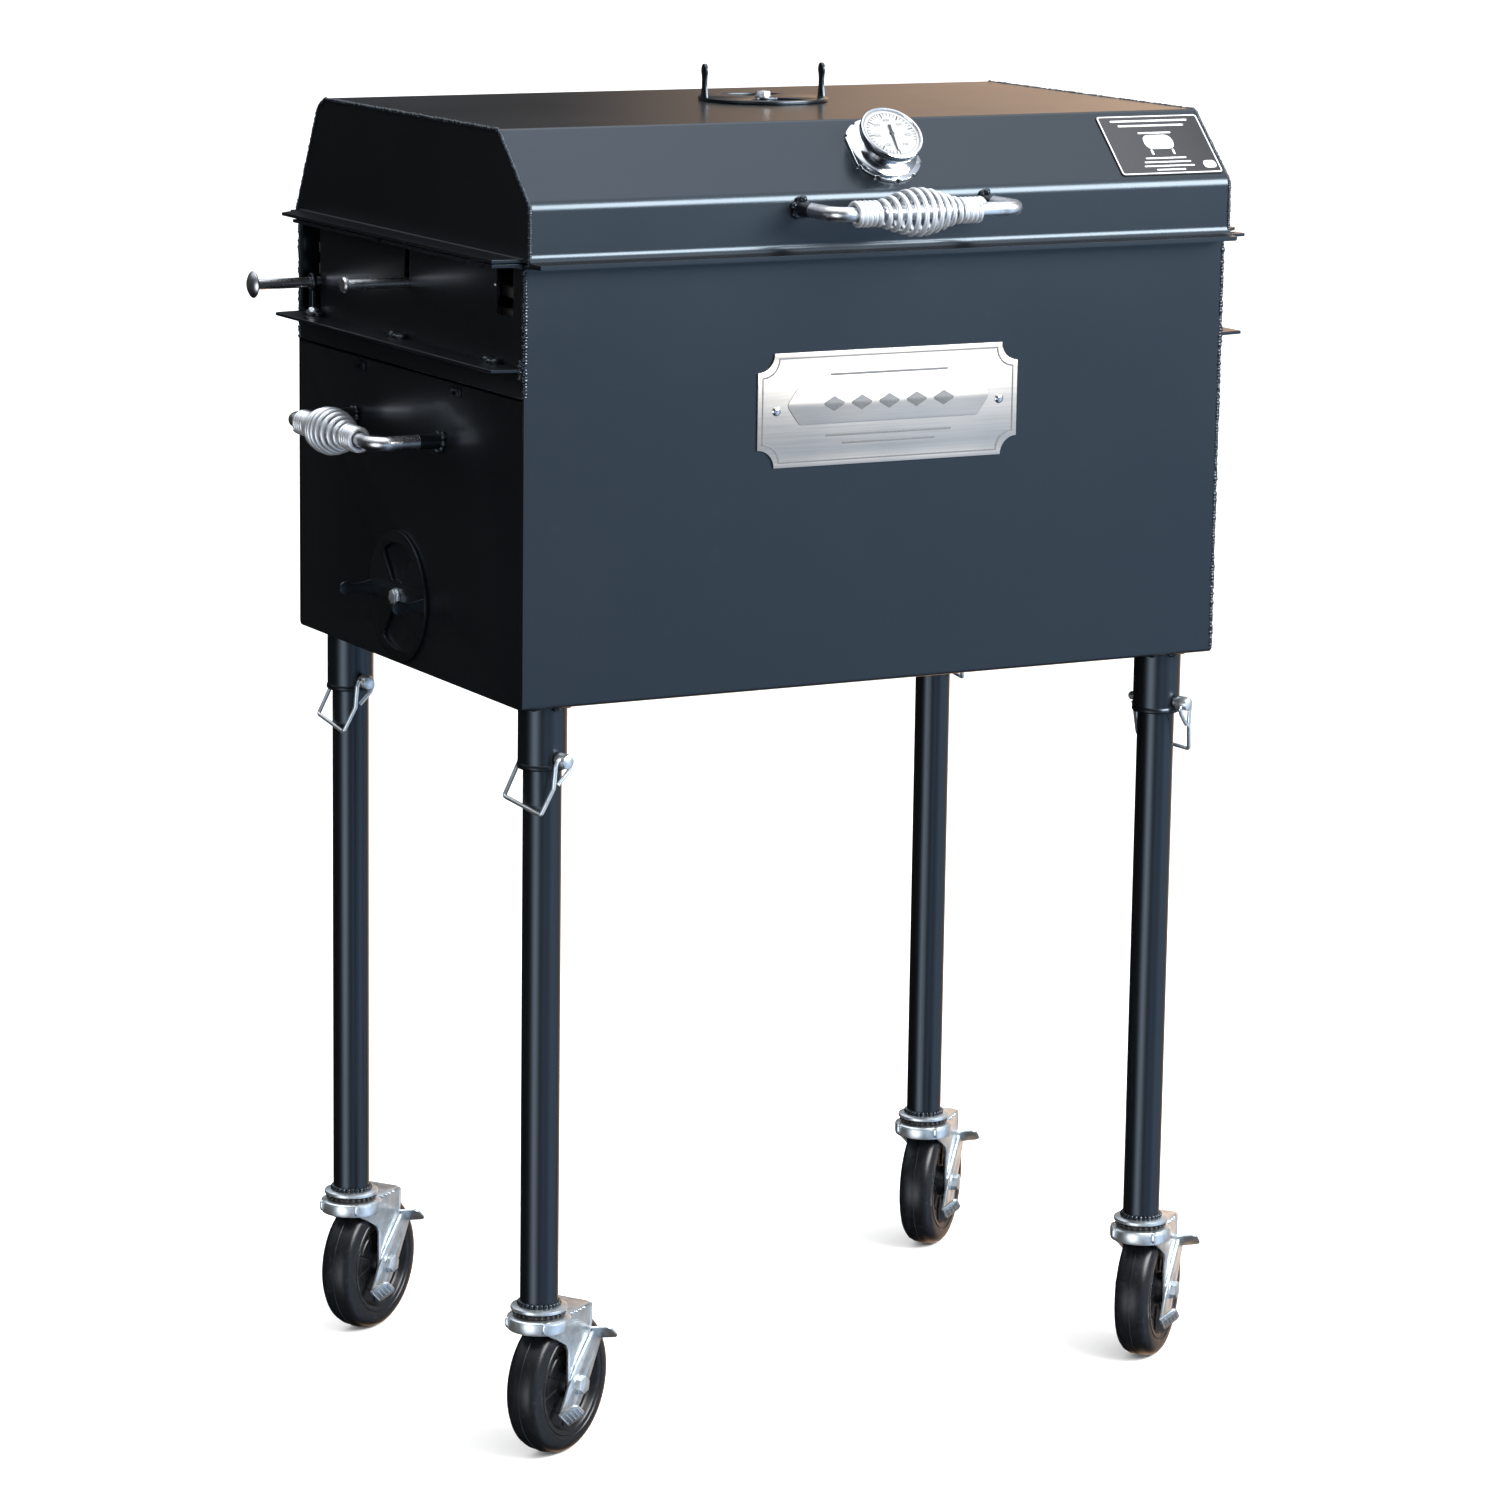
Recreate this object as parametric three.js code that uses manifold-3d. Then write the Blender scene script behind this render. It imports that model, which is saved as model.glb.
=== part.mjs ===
// Charcoal cooker: a sheet-steel box with a hinged lid, a turning cooking grate and a
// pull-out charcoal drawer, standing on four removable pipe legs with braked casters.
// Millimetres, +Z up, floor at z = 0. The front faces -Y, the drawer pulls out towards -X.

import * as THREE from 'three';
import { mergeVertices } from 'three/addons/utils/BufferGeometryUtils.js';
import Module from 'manifold-3d';

const wasm = await Module();
wasm.setup();

// ---- Driving dimensions ------------------------------------------------------------

const GAP = 0.3; // between pieces that touch
const SHEET = 3; // wall of the body, the lid and their flanges
const WELD_SINK = 0.5; // how far a welded-on shape runs into its neighbour

const BODY_LENGTH = 686.8;
const BODY_DEPTH = 462.8;
const BODY_HEIGHT = 374.5;
const FLANGE_WIDTH = 24; // front and back rims
const END_FLANGE_WIDTH = 26.5; // left and right rims
const FLANGE_CUT = 4; // corner cut at the front ends of the rims
const REAR_FLANGE_CUT = 22; // larger corner cut at the back ends of the end rims
const SHELF_BELOW_RIM = 87; // top of the end shelf below the rim's top
const SHELF_WIDTH = 26.5;

const LID_OVERHANG = 7.6; // lid skirt outside the body's front and back
const LID_SEAT_GAP = 0.8; // between the two rims
const LID_SKIRT_HEIGHT = 48;
const LID_HEIGHT = 106;
const LID_BEVEL_DEPTH = 59.4;
const LID_BACK_SLOPE = 50; // how far the back wall leans in
const LID_BACK_KNEE_DEPTH = 14;
const LID_BACK_KNEE_DROP = 7.4;

const DRAWER_FRONT_HEIGHT = 258;
const SEAM_GAP = 4;
const DRAWER_SIDE_GAP = 0.8;
const PAN_SHEET = 2;
const PAN_BACK_ROOM = 26.8; // the pan is this much shorter than the body
const PAN_SIDE_ROOM = 16.4; // pan and grates from the body's front and back faces
const PAN_HEIGHT = 146;
const PAN_FLOOR_GAP = 0.6;
const CHARCOAL_GRATE_LIFT = 36; // top of the charcoal grate above the pan's floor
const PAN_LEDGE = { width: 9, thickness: 3 }; // under the grate's long edges
const SEAM_HOOK = { offsets: [95, -102], halfWidth: 9, thickness: 3, height: 5 };

const CHARCOAL_GRATE_MARGIN = 4; // inside the pan, all round
const CHARCOAL_GRATE_FRAME = 8; // height of its edge bar
const CHARCOAL_ROD_COUNT = 11;
const DAMPER_NUT_ROOM = 8;

const AXLE_DIAMETER = 9.5;
const AXLE_ABOVE_SHELF = 48.5;
const AXLE_OVERHANG = 58;
const AXLE_COLLAR = 14;
const AXLE_COLLAR_THICKNESS = 3;
const AXLE_SLOT_WIDTH = 10.5;
const GRATE_SIDE_GAP = 9;
const GRATE_FRAME_HEIGHT = 9;
const GRATE_BAR_THICKNESS = 4;
const GRATE_ROD = 5;
const GRATE_ROD_COUNT = 13;
const GRATE_ROD_DROP = 1; // top of a rod below the top of its frame

const LOCK_ROD_DIAMETER = 9.5;
const LOCK_ROD_FROM_BACK = 41.4;
const LOCK_ROD_ENGAGEMENT = 14;
const LOCK_ROD_OVERHANG = 62;
const LOCK_ROD_HEAD = 24;
const LOCK_EYE_THICKNESS = 4;
const LOCK_EYE_OFFSET = 5; // from the wall
const REAR_SLOT = { end: 1, fromEnd: 27.9, width: 39, depth: 85 };
const FRONT_SLOT = { end: -1, fromEnd: 37.4, width: 32, depth: 46 };

const HANDLE_BAR = 12.7;
const HANDLE_SPAN = 180;
const HANDLE_REACH = 63;
const HANDLE_BEND = 13;
const GRIP_LENGTH = 127;
const GRIP_END_DIAMETER = 23;
const GRIP_DIAMETER = 42;
const LID_HANDLE_DROP = 4; // below the skirt's top crease
const LID_GRIP_SHIFT = -12;
const DRAWER_HANDLE_HEIGHT = 208;
const DRAWER_HANDLE_OFFSET = 17;
const DRAWER_GRIP_SHIFT = 2;

const DAMPER_DIAMETER = 116;
const DAMPER_THICKNESS = 3;
const DAMPER_EAR_REACH = 33;
const DAMPER_EAR_WIDTH = 12;
const DAMPER_OPENING = { inner: 15, outer: 47, halfAngle: 38 };
const DAMPER_BOLT = 6.4;
const DAMPER_BOLT_HEAD = 13;
const DRAWER_DAMPER = { along: 13.6, height: 60 };
const LID_VENT = { x: 20, y: 30, turn: -8.5 };

const DIAL_DIAMETER = 55;
const DIAL_FLANGE = 70;
const DIAL_STANDOFF = 21.5;
const DIAL_STEM = 8;
const DIAL_STEM_LENGTH = 60;
const DIAL_X = 8;
const DIAL_UP_BEVEL = 46;
const NEEDLE_REST = 185; // degrees clockwise from the top of the dial

const LABEL = { width: 107, height: 73, thickness: 1, fromEnd: 3, upBevel: 41 };
const NAMEPLATE = { width: 256, height: 98, thickness: 1.5, x: 3.7, up: 241, scoop: 16 };

const HINGE_ROD = 9.5;
const HINGE_BARREL = 16;
const HINGE_LENGTH = 560;
const HINGE_STRIP = 3;
const HINGE_STRIP_DROP = 34;
const HINGE_KNUCKLE_COUNT = 3;
const HINGE_ROD_HEAD = 3;

const LEG_DIAMETER = 33.4;
const LEG_BORE = 26.6;
const LEG_REACH = 532; // from the body's bottom to the end of the pipe
const LEG_TOP_GAP = 4;
const SOCKET_DIAMETER = 42.2;
const SOCKET_BORE = 35.1;
const SOCKET_LENGTH = 56;
const LEG_INSET_X = 35.4;
const LEG_INSET_Y = 33.4;
const PIN_DIAMETER = 8;
const PIN_CLEARANCE = 0.9;
const PIN_DROP = 46; // below the body's bottom
const PIN_TAIL = 30;
const PIN_HEAD_DIAMETER = 13;
const PIN_HEAD_START = 24;
const PIN_HEAD_LENGTH = 13;
const BAIL_WIRE = 3.2;
const BAIL_REACH = 50;
const BAIL_FLARE = 4; // how far the wire's far corner stands past the pin's tail
const BAIL_RISE = 8; // how much higher that corner is than the near one
const BAIL_LEG_GAP = 0.5;

const WHEEL_DIAMETER = 127;
const WHEEL_WIDTH = 32;
const WHEEL_HUB = 28;
const CASTER_HEIGHT = 138;
const CASTER_TRAIL = 30;
const CASTER_BOLT = 9.5;
const CASTER_BOLT_HEAD = 16;
const FORK_SHEET = 2.5;
const FORK_SIDE_GAP = 0.3;
const CROWN_DIAMETER = 56;
const CROWN_SHEET = 3;
const CROWN_LIFT = 1.5; // crown above the wheel
const RACE_DIAMETER = 50;
const RACE_THICKNESS = 4;
const KINGPIN_DIAMETER = 12;
const KINGPIN_HEAD = 18;
const KINGPIN_HEAD_THICKNESS = 3;
const BRAKE_SHEET = 2.5;
const BRAKE_PAD = 18;

// Each corner: which side it is on, how its lock pin is turned, how its caster is swung.
const CORNERS = [
  { name: 'front_left', side: -1, end: -1, pinTurn: 12, casterTurn: 31.5 },
  { name: 'front_right', side: 1, end: -1, pinTurn: 22, casterTurn: 41 },
  { name: 'rear_left', side: -1, end: 1, pinTurn: 4, casterTurn: 34 },
  { name: 'rear_right', side: 1, end: 1, pinTurn: 0, casterTurn: 43 },
];

// ---- Heights and planes that follow from them --------------------------------------

const floorToBody = CASTER_HEIGHT + LEG_REACH;
const halfLength = BODY_LENGTH / 2;
const halfDepth = BODY_DEPTH / 2;
const rimTop = BODY_HEIGHT;
const shelfTop = rimTop - SHELF_BELOW_RIM;
const axleHeight = shelfTop + AXLE_ABOVE_SHELF;
const lockRodY = halfDepth - LOCK_ROD_FROM_BACK;
const lidBottom = rimTop + LID_SEAT_GAP;
const lidHalfDepth = halfDepth + LID_OVERHANG;
const lidTop = lidBottom + LID_HEIGHT;
const creaseHeight = lidBottom + LID_SKIRT_HEIGHT;
const bevelTopY = -lidHalfDepth + LID_BEVEL_DEPTH;
const seamBottom = DRAWER_FRONT_HEIGHT;
const endPanelBottom = seamBottom + SEAM_GAP;
const bevelRise = lidTop - creaseHeight;
const bevelAngle = Math.atan2(bevelRise, LID_BEVEL_DEPTH);
const grateHalfLength = halfLength - SHEET - GRATE_SIDE_GAP;
const grateGap = AXLE_DIAMETER / 2 + GAP; // each grate lies this far from the axle's middle
const lockRodHeight = axleHeight - grateGap - GRATE_FRAME_HEIGHT - GAP - LOCK_ROD_DIAMETER / 2;
const hingeY = halfDepth + LID_OVERHANG + FLANGE_WIDTH + GAP + HINGE_BARREL / 2;
const hingeZ = rimTop + LID_SEAT_GAP / 2;

// ---- Shape helpers -----------------------------------------------------------------

const ROUND = 16; // sides of a plain round bar

function solid(geometry) {
  const bare = geometry.clone();
  for (const name of Object.keys(bare.attributes)) {
    if (name !== 'position') bare.deleteAttribute(name);
  }
  const merged = mergeVertices(bare, 1e-4);
  return new wasm.Manifold(new wasm.Mesh({
    numProp: 3,
    vertProperties: new Float32Array(merged.attributes.position.array),
    triVerts: new Uint32Array(merged.index.array),
  }));
}

function piece(name, shape, material) {
  const { vertProperties, triVerts } = shape.getMesh();
  const geometry = new THREE.BufferGeometry();
  geometry.setAttribute('position', new THREE.BufferAttribute(vertProperties, 3));
  geometry.setIndex(new THREE.BufferAttribute(triVerts, 1));
  geometry.computeVertexNormals();
  const mesh = new THREE.Mesh(geometry, material);
  mesh.name = name;
  return mesh;
}

const join = (...shapes) => shapes.reduce((sum, shape) => sum.add(shape));
const cut = (shape, ...tools) => tools.reduce((left, tool) => left.subtract(tool), shape);

function box([x0, x1], [y0, y1], [z0, z1]) {
  const geometry = new THREE.BoxGeometry(x1 - x0, y1 - y0, z1 - z0);
  return solid(geometry.translate((x0 + x1) / 2, (y0 + y1) / 2, (z0 + z1) / 2));
}

// A straight round bar from one point to another.
function bar(from, to, radius, sides = ROUND) {
  const start = new THREE.Vector3(...from);
  const along = new THREE.Vector3(...to).sub(start);
  const geometry = new THREE.CylinderGeometry(radius, radius, along.length(), sides);
  geometry.translate(0, along.length() / 2, 0);
  const turn = new THREE.Quaternion().setFromUnitVectors(
    new THREE.Vector3(0, 1, 0), along.clone().normalize());
  return solid(geometry.applyQuaternion(turn).translate(start.x, start.y, start.z));
}

function outline(points) {
  return new THREE.Shape(points.map(([u, v]) => new THREE.Vector2(u, v)));
}

function ordered(shape) {
  const points = shape.getPoints(8);
  return THREE.ShapeUtils.isClockWise(points) ? outline(points.reverse().map((p) => [p.x, p.y])) : shape;
}

// Outline in (y, z), pushed along X.
function plateX(shape, x0, x1, curves = 8) {
  const geometry = new THREE.ExtrudeGeometry(ordered(shape),
    { depth: x1 - x0, bevelEnabled: false, curveSegments: curves });
  const axes = new THREE.Matrix4().makeBasis(
    new THREE.Vector3(0, 1, 0), new THREE.Vector3(0, 0, 1), new THREE.Vector3(1, 0, 0));
  return solid(geometry.applyMatrix4(axes).translate(x0, 0, 0));
}

// Outline in (x, z), pushed along Y.
function plateY(shape, y0, y1, curves = 8) {
  const geometry = new THREE.ExtrudeGeometry(ordered(shape),
    { depth: y1 - y0, bevelEnabled: false, curveSegments: curves });
  const axes = new THREE.Matrix4().makeBasis(
    new THREE.Vector3(1, 0, 0), new THREE.Vector3(0, 0, 1), new THREE.Vector3(0, -1, 0));
  return solid(geometry.applyMatrix4(axes).translate(0, y1, 0));
}

// Outline in (x, y), pushed along Z.
function plateZ(shape, z0, z1, curves = 4) {
  const geometry = new THREE.ExtrudeGeometry(ordered(shape),
    { depth: z1 - z0, bevelEnabled: false, curveSegments: curves });
  return solid(geometry.translate(0, 0, z0));
}

// A profile of [radius, height] points turned about Z.
function turned(profile, sides = ROUND) {
  const points = profile.map(([r, h]) => new THREE.Vector2(r, h));
  const geometry = new THREE.LatheGeometry(points, sides);
  return solid(geometry.rotateX(Math.PI / 2));
}

// A round bar along straight runs joined by bends.
function bentBar(corners, radius, bend, steps, sides) {
  const points = corners.map((corner) => new THREE.Vector3(...corner));
  const path = new THREE.CurvePath();
  let start = points[0];
  for (let i = 1; i < points.length - 1; i += 1) {
    const into = points[i].clone().sub(points[i - 1]).normalize();
    const away = points[i + 1].clone().sub(points[i]).normalize();
    const before = points[i].clone().addScaledVector(into, -bend);
    const after = points[i].clone().addScaledVector(away, bend);
    path.add(new THREE.LineCurve3(start, before));
    path.add(new THREE.QuadraticBezierCurve3(before, points[i], after));
    start = after;
  }
  path.add(new THREE.LineCurve3(start, points[points.length - 1]));
  const angles = Array.from({ length: sides }, (unused, i) => 2 * Math.PI * i / sides);
  const round = outline(angles.map((angle) => [radius * Math.cos(angle), radius * Math.sin(angle)]));
  return solid(new THREE.ExtrudeGeometry(round, { steps, extrudePath: path, bevelEnabled: false }));
}

// The inner side of an open outline in (y, z), one sheet inside the outer one.
function insideOf(points, thickness) {
  const lines = [];
  for (let i = 0; i < points.length - 1; i += 1) {
    const [u0, v0] = points[i];
    const [u1, v1] = points[i + 1];
    const length = Math.hypot(u1 - u0, v1 - v0);
    const normal = [(v1 - v0) / length, -(u1 - u0) / length];
    lines.push({ u: u0 + normal[0] * thickness, v: v0 + normal[1] * thickness, du: u1 - u0, dv: v1 - v0 });
  }
  const inner = [[lines[0].u, points[0][1]]];
  for (let i = 0; i < lines.length - 1; i += 1) {
    const a = lines[i];
    const b = lines[i + 1];
    const share = ((b.u - a.u) * b.dv - (b.v - a.v) * b.du) / (a.du * b.dv - a.dv * b.du);
    inner.push([a.u + a.du * share, a.v + a.dv * share]);
  }
  const last = lines[lines.length - 1];
  const [, endV] = points[points.length - 1];
  inner.push([last.u + last.du * ((endV - last.v) / last.dv), endV]);
  return inner;
}

// ---- Finishes ----------------------------------------------------------------------

function finish(color, roughness, metalness) {
  return new THREE.MeshStandardMaterial({ color, roughness, metalness });
}

const blackPaint = finish(0x15181c, 0.35, 0.1);
const bareSteel = finish(0xb9bcc0, 0.3, 0.9);
const zincPlate = finish(0xc3ccd2, 0.35, 0.85);
const stainless = finish(0xa9adb0, 0.4, 0.9);
const hardRubber = finish(0x121316, 0.5, 0);
const brushedPlate = finish(0xc9ccce, 0.35, 0.8);
const clearGlass = finish(0xe8f0f2, 0.05, 0);
const blackLabel = finish(0x1b1c1e, 0.4, 0);

// ---- Body --------------------------------------------------------------------------

const model = new THREE.Group();
const body = new THREE.Group();
body.position.z = floorToBody;
model.add(body);

function frontRim(halfLengthHere, wallY, width, z0, z1, side) {
  const outer = wallY + side * width;
  const shape = outline([
    [-halfLengthHere, wallY - side * SHEET], [halfLengthHere, wallY - side * SHEET],
    [halfLengthHere, wallY], [halfLengthHere - FLANGE_CUT, outer],
    [-halfLengthHere + FLANGE_CUT, outer], [-halfLengthHere, wallY],
  ]);
  return plateZ(shape, z0, z1);
}

function endRim(side, frontY, backY, width, rearCut, z0, z1) {
  const outer = side * (halfLength + width);
  const inner = side * (halfLength - SHEET);
  const wall = side * halfLength;
  const shape = outline([
    [inner, frontY], [wall, frontY], [outer, frontY + FLANGE_CUT],
    [outer, backY - rearCut], [wall, backY], [inner, backY],
  ]);
  return plateZ(shape, z0, z1);
}

function bodyShell() {
  const wall = outline([
    [-halfDepth, 0], [halfDepth, 0], [halfDepth, rimTop], [halfDepth - SHEET, rimTop],
    [halfDepth - SHEET, SHEET], [-halfDepth + SHEET, SHEET], [-halfDepth + SHEET, rimTop],
    [-halfDepth, rimTop],
  ]);
  const drawerMouth = box([-halfLength - 1, -halfLength + SHEET + GAP],
    [-halfDepth + SHEET, halfDepth - SHEET], [-1, SHEET + 1]);
  return cut(join(
    plateX(wall, -halfLength, halfLength),
    frontRim(halfLength, -halfDepth, FLANGE_WIDTH, rimTop - SHEET, rimTop, -1),
    frontRim(halfLength, halfDepth, FLANGE_WIDTH, rimTop - SHEET, rimTop, 1),
  ), drawerMouth);
}

function slotCut(side, slot) {
  const outer = side * (halfLength + END_FLANGE_WIDTH + 1);
  const inner = side * (halfLength - SHEET - 1);
  const across = [Math.min(outer, inner), Math.max(outer, inner)];
  const centre = slot.end * (halfDepth - slot.fromEnd);
  return box(across, [centre - slot.width / 2, centre + slot.width / 2],
    [rimTop - slot.depth, rimTop + 1]);
}

function axleSlot(side) {
  const outer = side * (halfLength + END_FLANGE_WIDTH + 1);
  const inner = side * (halfLength - SHEET - 1);
  const across = [Math.min(outer, inner), Math.max(outer, inner)];
  return join(
    box(across, [-AXLE_SLOT_WIDTH / 2, AXLE_SLOT_WIDTH / 2], [axleHeight, rimTop + 1]),
    bar([inner, 0, axleHeight], [outer, 0, axleHeight], AXLE_SLOT_WIDTH / 2),
  );
}

function endPanel(side, bottom) {
  const width = halfDepth - SHEET - GAP;
  const faces = [side * halfLength, side * (halfLength - SHEET)].sort((a, b) => a - b);
  return cut(join(
    box(faces, [-width, width], [bottom, rimTop]),
    endRim(side, -width, width, END_FLANGE_WIDTH, REAR_FLANGE_CUT, rimTop - SHEET, rimTop),
    endRim(side, -width, width, SHELF_WIDTH, FLANGE_CUT, shelfTop - SHEET, shelfTop),
  ), axleSlot(side), slotCut(side, REAR_SLOT), slotCut(side, FRONT_SLOT));
}

function lockEye() {
  const x1 = -halfLength - LOCK_EYE_OFFSET + LOCK_EYE_THICKNESS / 2;
  const x0 = x1 - LOCK_EYE_THICKNESS;
  const radius = LOCK_ROD_DIAMETER;
  return cut(join(
    box([x0, x1], [lockRodY - radius, lockRodY + radius],
      [shelfTop - WELD_SINK, lockRodHeight]),
    bar([x0, lockRodY, lockRodHeight], [x1, lockRodY, lockRodHeight], radius),
  ), bar([x0 - 1, lockRodY, lockRodHeight], [x1 + 1, lockRodY, lockRodHeight],
    LOCK_ROD_DIAMETER / 2 + GAP));
}

body.add(piece('body_shell', bodyShell(), blackPaint));
body.add(piece('left_end_panel', join(endPanel(-1, endPanelBottom), lockEye()), blackPaint));
body.add(piece('right_end_panel', endPanel(1, SHEET + GAP), blackPaint));

function nameplate() {
  const { width, height, scoop } = NAMEPLATE;
  const shape = new THREE.Shape();
  const w = width / 2;
  const h = height / 2;
  shape.moveTo(-w + scoop, -h);
  shape.lineTo(w - scoop, -h);
  shape.absarc(w, -h, scoop, Math.PI, Math.PI / 2, true);
  shape.lineTo(w, h - scoop);
  shape.absarc(w, h, scoop, -Math.PI / 2, -Math.PI, true);
  shape.lineTo(-w + scoop, h);
  shape.absarc(-w, h, scoop, 0, -Math.PI / 2, true);
  shape.lineTo(-w, -h + scoop);
  shape.absarc(-w, -h, scoop, Math.PI / 2, 0, true);
  return plateY(shape, -NAMEPLATE.thickness, 0, 5);
}

const namePiece = piece('nameplate', nameplate(), brushedPlate);
namePiece.position.set(NAMEPLATE.x, -halfDepth - GAP, NAMEPLATE.up);
body.add(namePiece);

// ---- Dampers: a turning disc with two openings and two bent ears -------------------

function sector({ inner, outer, halfAngle }, direction) {
  const middle = THREE.MathUtils.degToRad(direction);
  const half = THREE.MathUtils.degToRad(halfAngle);
  const shape = new THREE.Shape();
  shape.absarc(0, 0, outer, middle - half, middle + half, false);
  shape.absarc(0, 0, inner, middle + half, middle - half, true);
  return shape;
}

function sectorPair(direction, z0, z1) {
  return join(plateZ(sector(DAMPER_OPENING, direction), z0, z1),
    plateZ(sector(DAMPER_OPENING, direction + 180), z0, z1));
}

// Lies on z = 0 with its ears on the X axis.
function damperDisc() {
  const radius = DAMPER_DIAMETER / 2;
  const disc = bar([0, 0, GAP], [0, 0, GAP + DAMPER_THICKNESS], radius, 24);
  const ears = [-1, 1].map((side) => {
    const outer = side * (radius - 1);
    const inner = side * (radius - 1 - DAMPER_THICKNESS);
    const across = [Math.min(outer, inner), Math.max(outer, inner)];
    const tip = GAP + DAMPER_EAR_REACH - DAMPER_EAR_WIDTH / 2;
    return join(
      box(across, [-DAMPER_EAR_WIDTH / 2, DAMPER_EAR_WIDTH / 2], [GAP + WELD_SINK, tip]),
      bar([across[0], 0, tip], [across[1], 0, tip], DAMPER_EAR_WIDTH / 2, 12),
    );
  });
  const bore = bar([0, 0, -1], [0, 0, DAMPER_THICKNESS + 2], DAMPER_BOLT / 2 + GAP, 12);
  return cut(join(disc, ...ears), sectorPair(90, -1, DAMPER_THICKNESS + 2), bore);
}

// Passes through the sheet below z = 0; the head clamps the disc, the nut the sheet.
function damperBolt() {
  const top = GAP + DAMPER_THICKNESS + GAP;
  return join(
    bar([0, 0, top], [0, 0, top + 4.5], DAMPER_BOLT_HEAD / 2, 6),
    bar([0, 0, -SHEET - 9], [0, 0, top + 1], DAMPER_BOLT / 2, 12),
    bar([0, 0, -SHEET - 6], [0, 0, -SHEET - GAP], DAMPER_BOLT_HEAD / 2, 6),
  );
}

// What a damper needs cut from the sheet under it: openings below the ears, and a bore.
function damperCut() {
  const bore = bar([0, 0, -SHEET - 1], [0, 0, 1], DAMPER_BOLT / 2 + GAP, 12);
  return join(sectorPair(0, -SHEET - 1, 1), bore);
}

// ---- Spring-grip handle ------------------------------------------------------------

// Runs along X, standing out towards +Z from z = 0.
function handleBar() {
  const half = HANDLE_SPAN / 2;
  return bentBar([[-half, 0, GAP], [-half, 0, HANDLE_REACH], [half, 0, HANDLE_REACH], [half, 0, GAP]],
    HANDLE_BAR / 2, HANDLE_BEND, 28, 10);
}

function springGrip() {
  const half = GRIP_LENGTH / 2;
  const end = GRIP_END_DIAMETER / 2;
  const bore = HANDLE_BAR / 2 + GAP + 0.2;
  const profile = [[bore, -half], [end, -half], [end, -half * 0.7]];
  for (let i = 1; i < 6; i += 1) {
    const share = i / 6;
    const swell = Math.sin(Math.PI * share) ** 2;
    profile.push([end + (GRIP_DIAMETER / 2 - end) * swell, half * (1.4 * share - 0.7)]);
  }
  profile.push([end, half * 0.7], [end, half], [bore, half], [bore, -half]);
  return turned(profile, 14);
}

function handle(names, gripShift) {
  const group = new THREE.Group();
  group.add(piece(names.bar, handleBar(), bareSteel));
  const grip = piece(names.grip, springGrip(), bareSteel);
  grip.rotation.y = Math.PI / 2;
  grip.position.set(gripShift, 0, HANDLE_REACH);
  group.add(grip);
  return group;
}

// Turns a shape's +Z to face -X with its X axis along +Y.
const faceLeft = new THREE.Matrix4().makeBasis(
  new THREE.Vector3(0, 1, 0), new THREE.Vector3(0, 0, -1), new THREE.Vector3(-1, 0, 0));
// Turns a shape's +Z to face -Y with its X axis along +X.
const faceFront = new THREE.Matrix4().makeBasis(
  new THREE.Vector3(1, 0, 0), new THREE.Vector3(0, 0, 1), new THREE.Vector3(0, -1, 0));

function placed(object, axes, x, y, z) {
  object.applyMatrix4(axes);
  object.position.set(x, y, z);
  return object;
}

const moved = (shape, matrix) => shape.transform(matrix.elements);

// ---- Charcoal drawer ---------------------------------------------------------------

const drawer = new THREE.Group();
body.add(drawer);

function drawerFront() {
  const half = halfDepth - SHEET - DRAWER_SIDE_GAP;
  const { halfWidth, thickness, height } = SEAM_HOOK;
  const hooks = SEAM_HOOK.offsets.map((y) => box([-halfLength - thickness, -halfLength + WELD_SINK],
    [y - halfWidth, y + halfWidth], [seamBottom - 1 - height, seamBottom - 1]));
  const place = faceLeft.clone().setPosition(-halfLength, DRAWER_DAMPER.along, DRAWER_DAMPER.height);
  return cut(join(
    box([-halfLength, -halfLength + SHEET], [-half, half], [0, seamBottom]),
    ...hooks,
  ), moved(damperCut(), place));
}

const panX0 = -halfLength + SHEET + GAP;
const panX1 = panX0 + BODY_LENGTH - PAN_BACK_ROOM;
const panBottom = SHEET + PAN_FLOOR_GAP;

const grateTop = panBottom + PAN_SHEET + CHARCOAL_GRATE_LIFT;

function charcoalPan() {
  const half = halfDepth - PAN_SIDE_ROOM;
  const inner = half - PAN_SHEET;
  const ledgeTop = grateTop - CHARCOAL_GRATE_FRAME - GAP;
  const ledge = (y) => box([panX0 + WELD_SINK, panX1 - WELD_SINK], y,
    [ledgeTop - PAN_LEDGE.thickness, ledgeTop]);
  const front = ledge([-inner - WELD_SINK, -inner + PAN_LEDGE.width]);
  const back = ledge([inner - PAN_LEDGE.width, inner + WELD_SINK]);
  const place = faceLeft.clone().setPosition(-halfLength, DRAWER_DAMPER.along, DRAWER_DAMPER.height);
  const airWay = moved(bar([0, 0, -SHEET - PAN_SHEET - 4], [0, 0, 0], DAMPER_DIAMETER / 2 - 6, 24), place);
  const tray = cut(box([panX0, panX1], [-half, half], [panBottom, panBottom + PAN_HEIGHT]),
    box([panX0 + PAN_SHEET, panX1 - PAN_SHEET], [-inner, inner],
      [panBottom + PAN_SHEET, panBottom + PAN_HEIGHT + 1]));
  return cut(join(tray, front, back), airWay);
}

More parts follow.
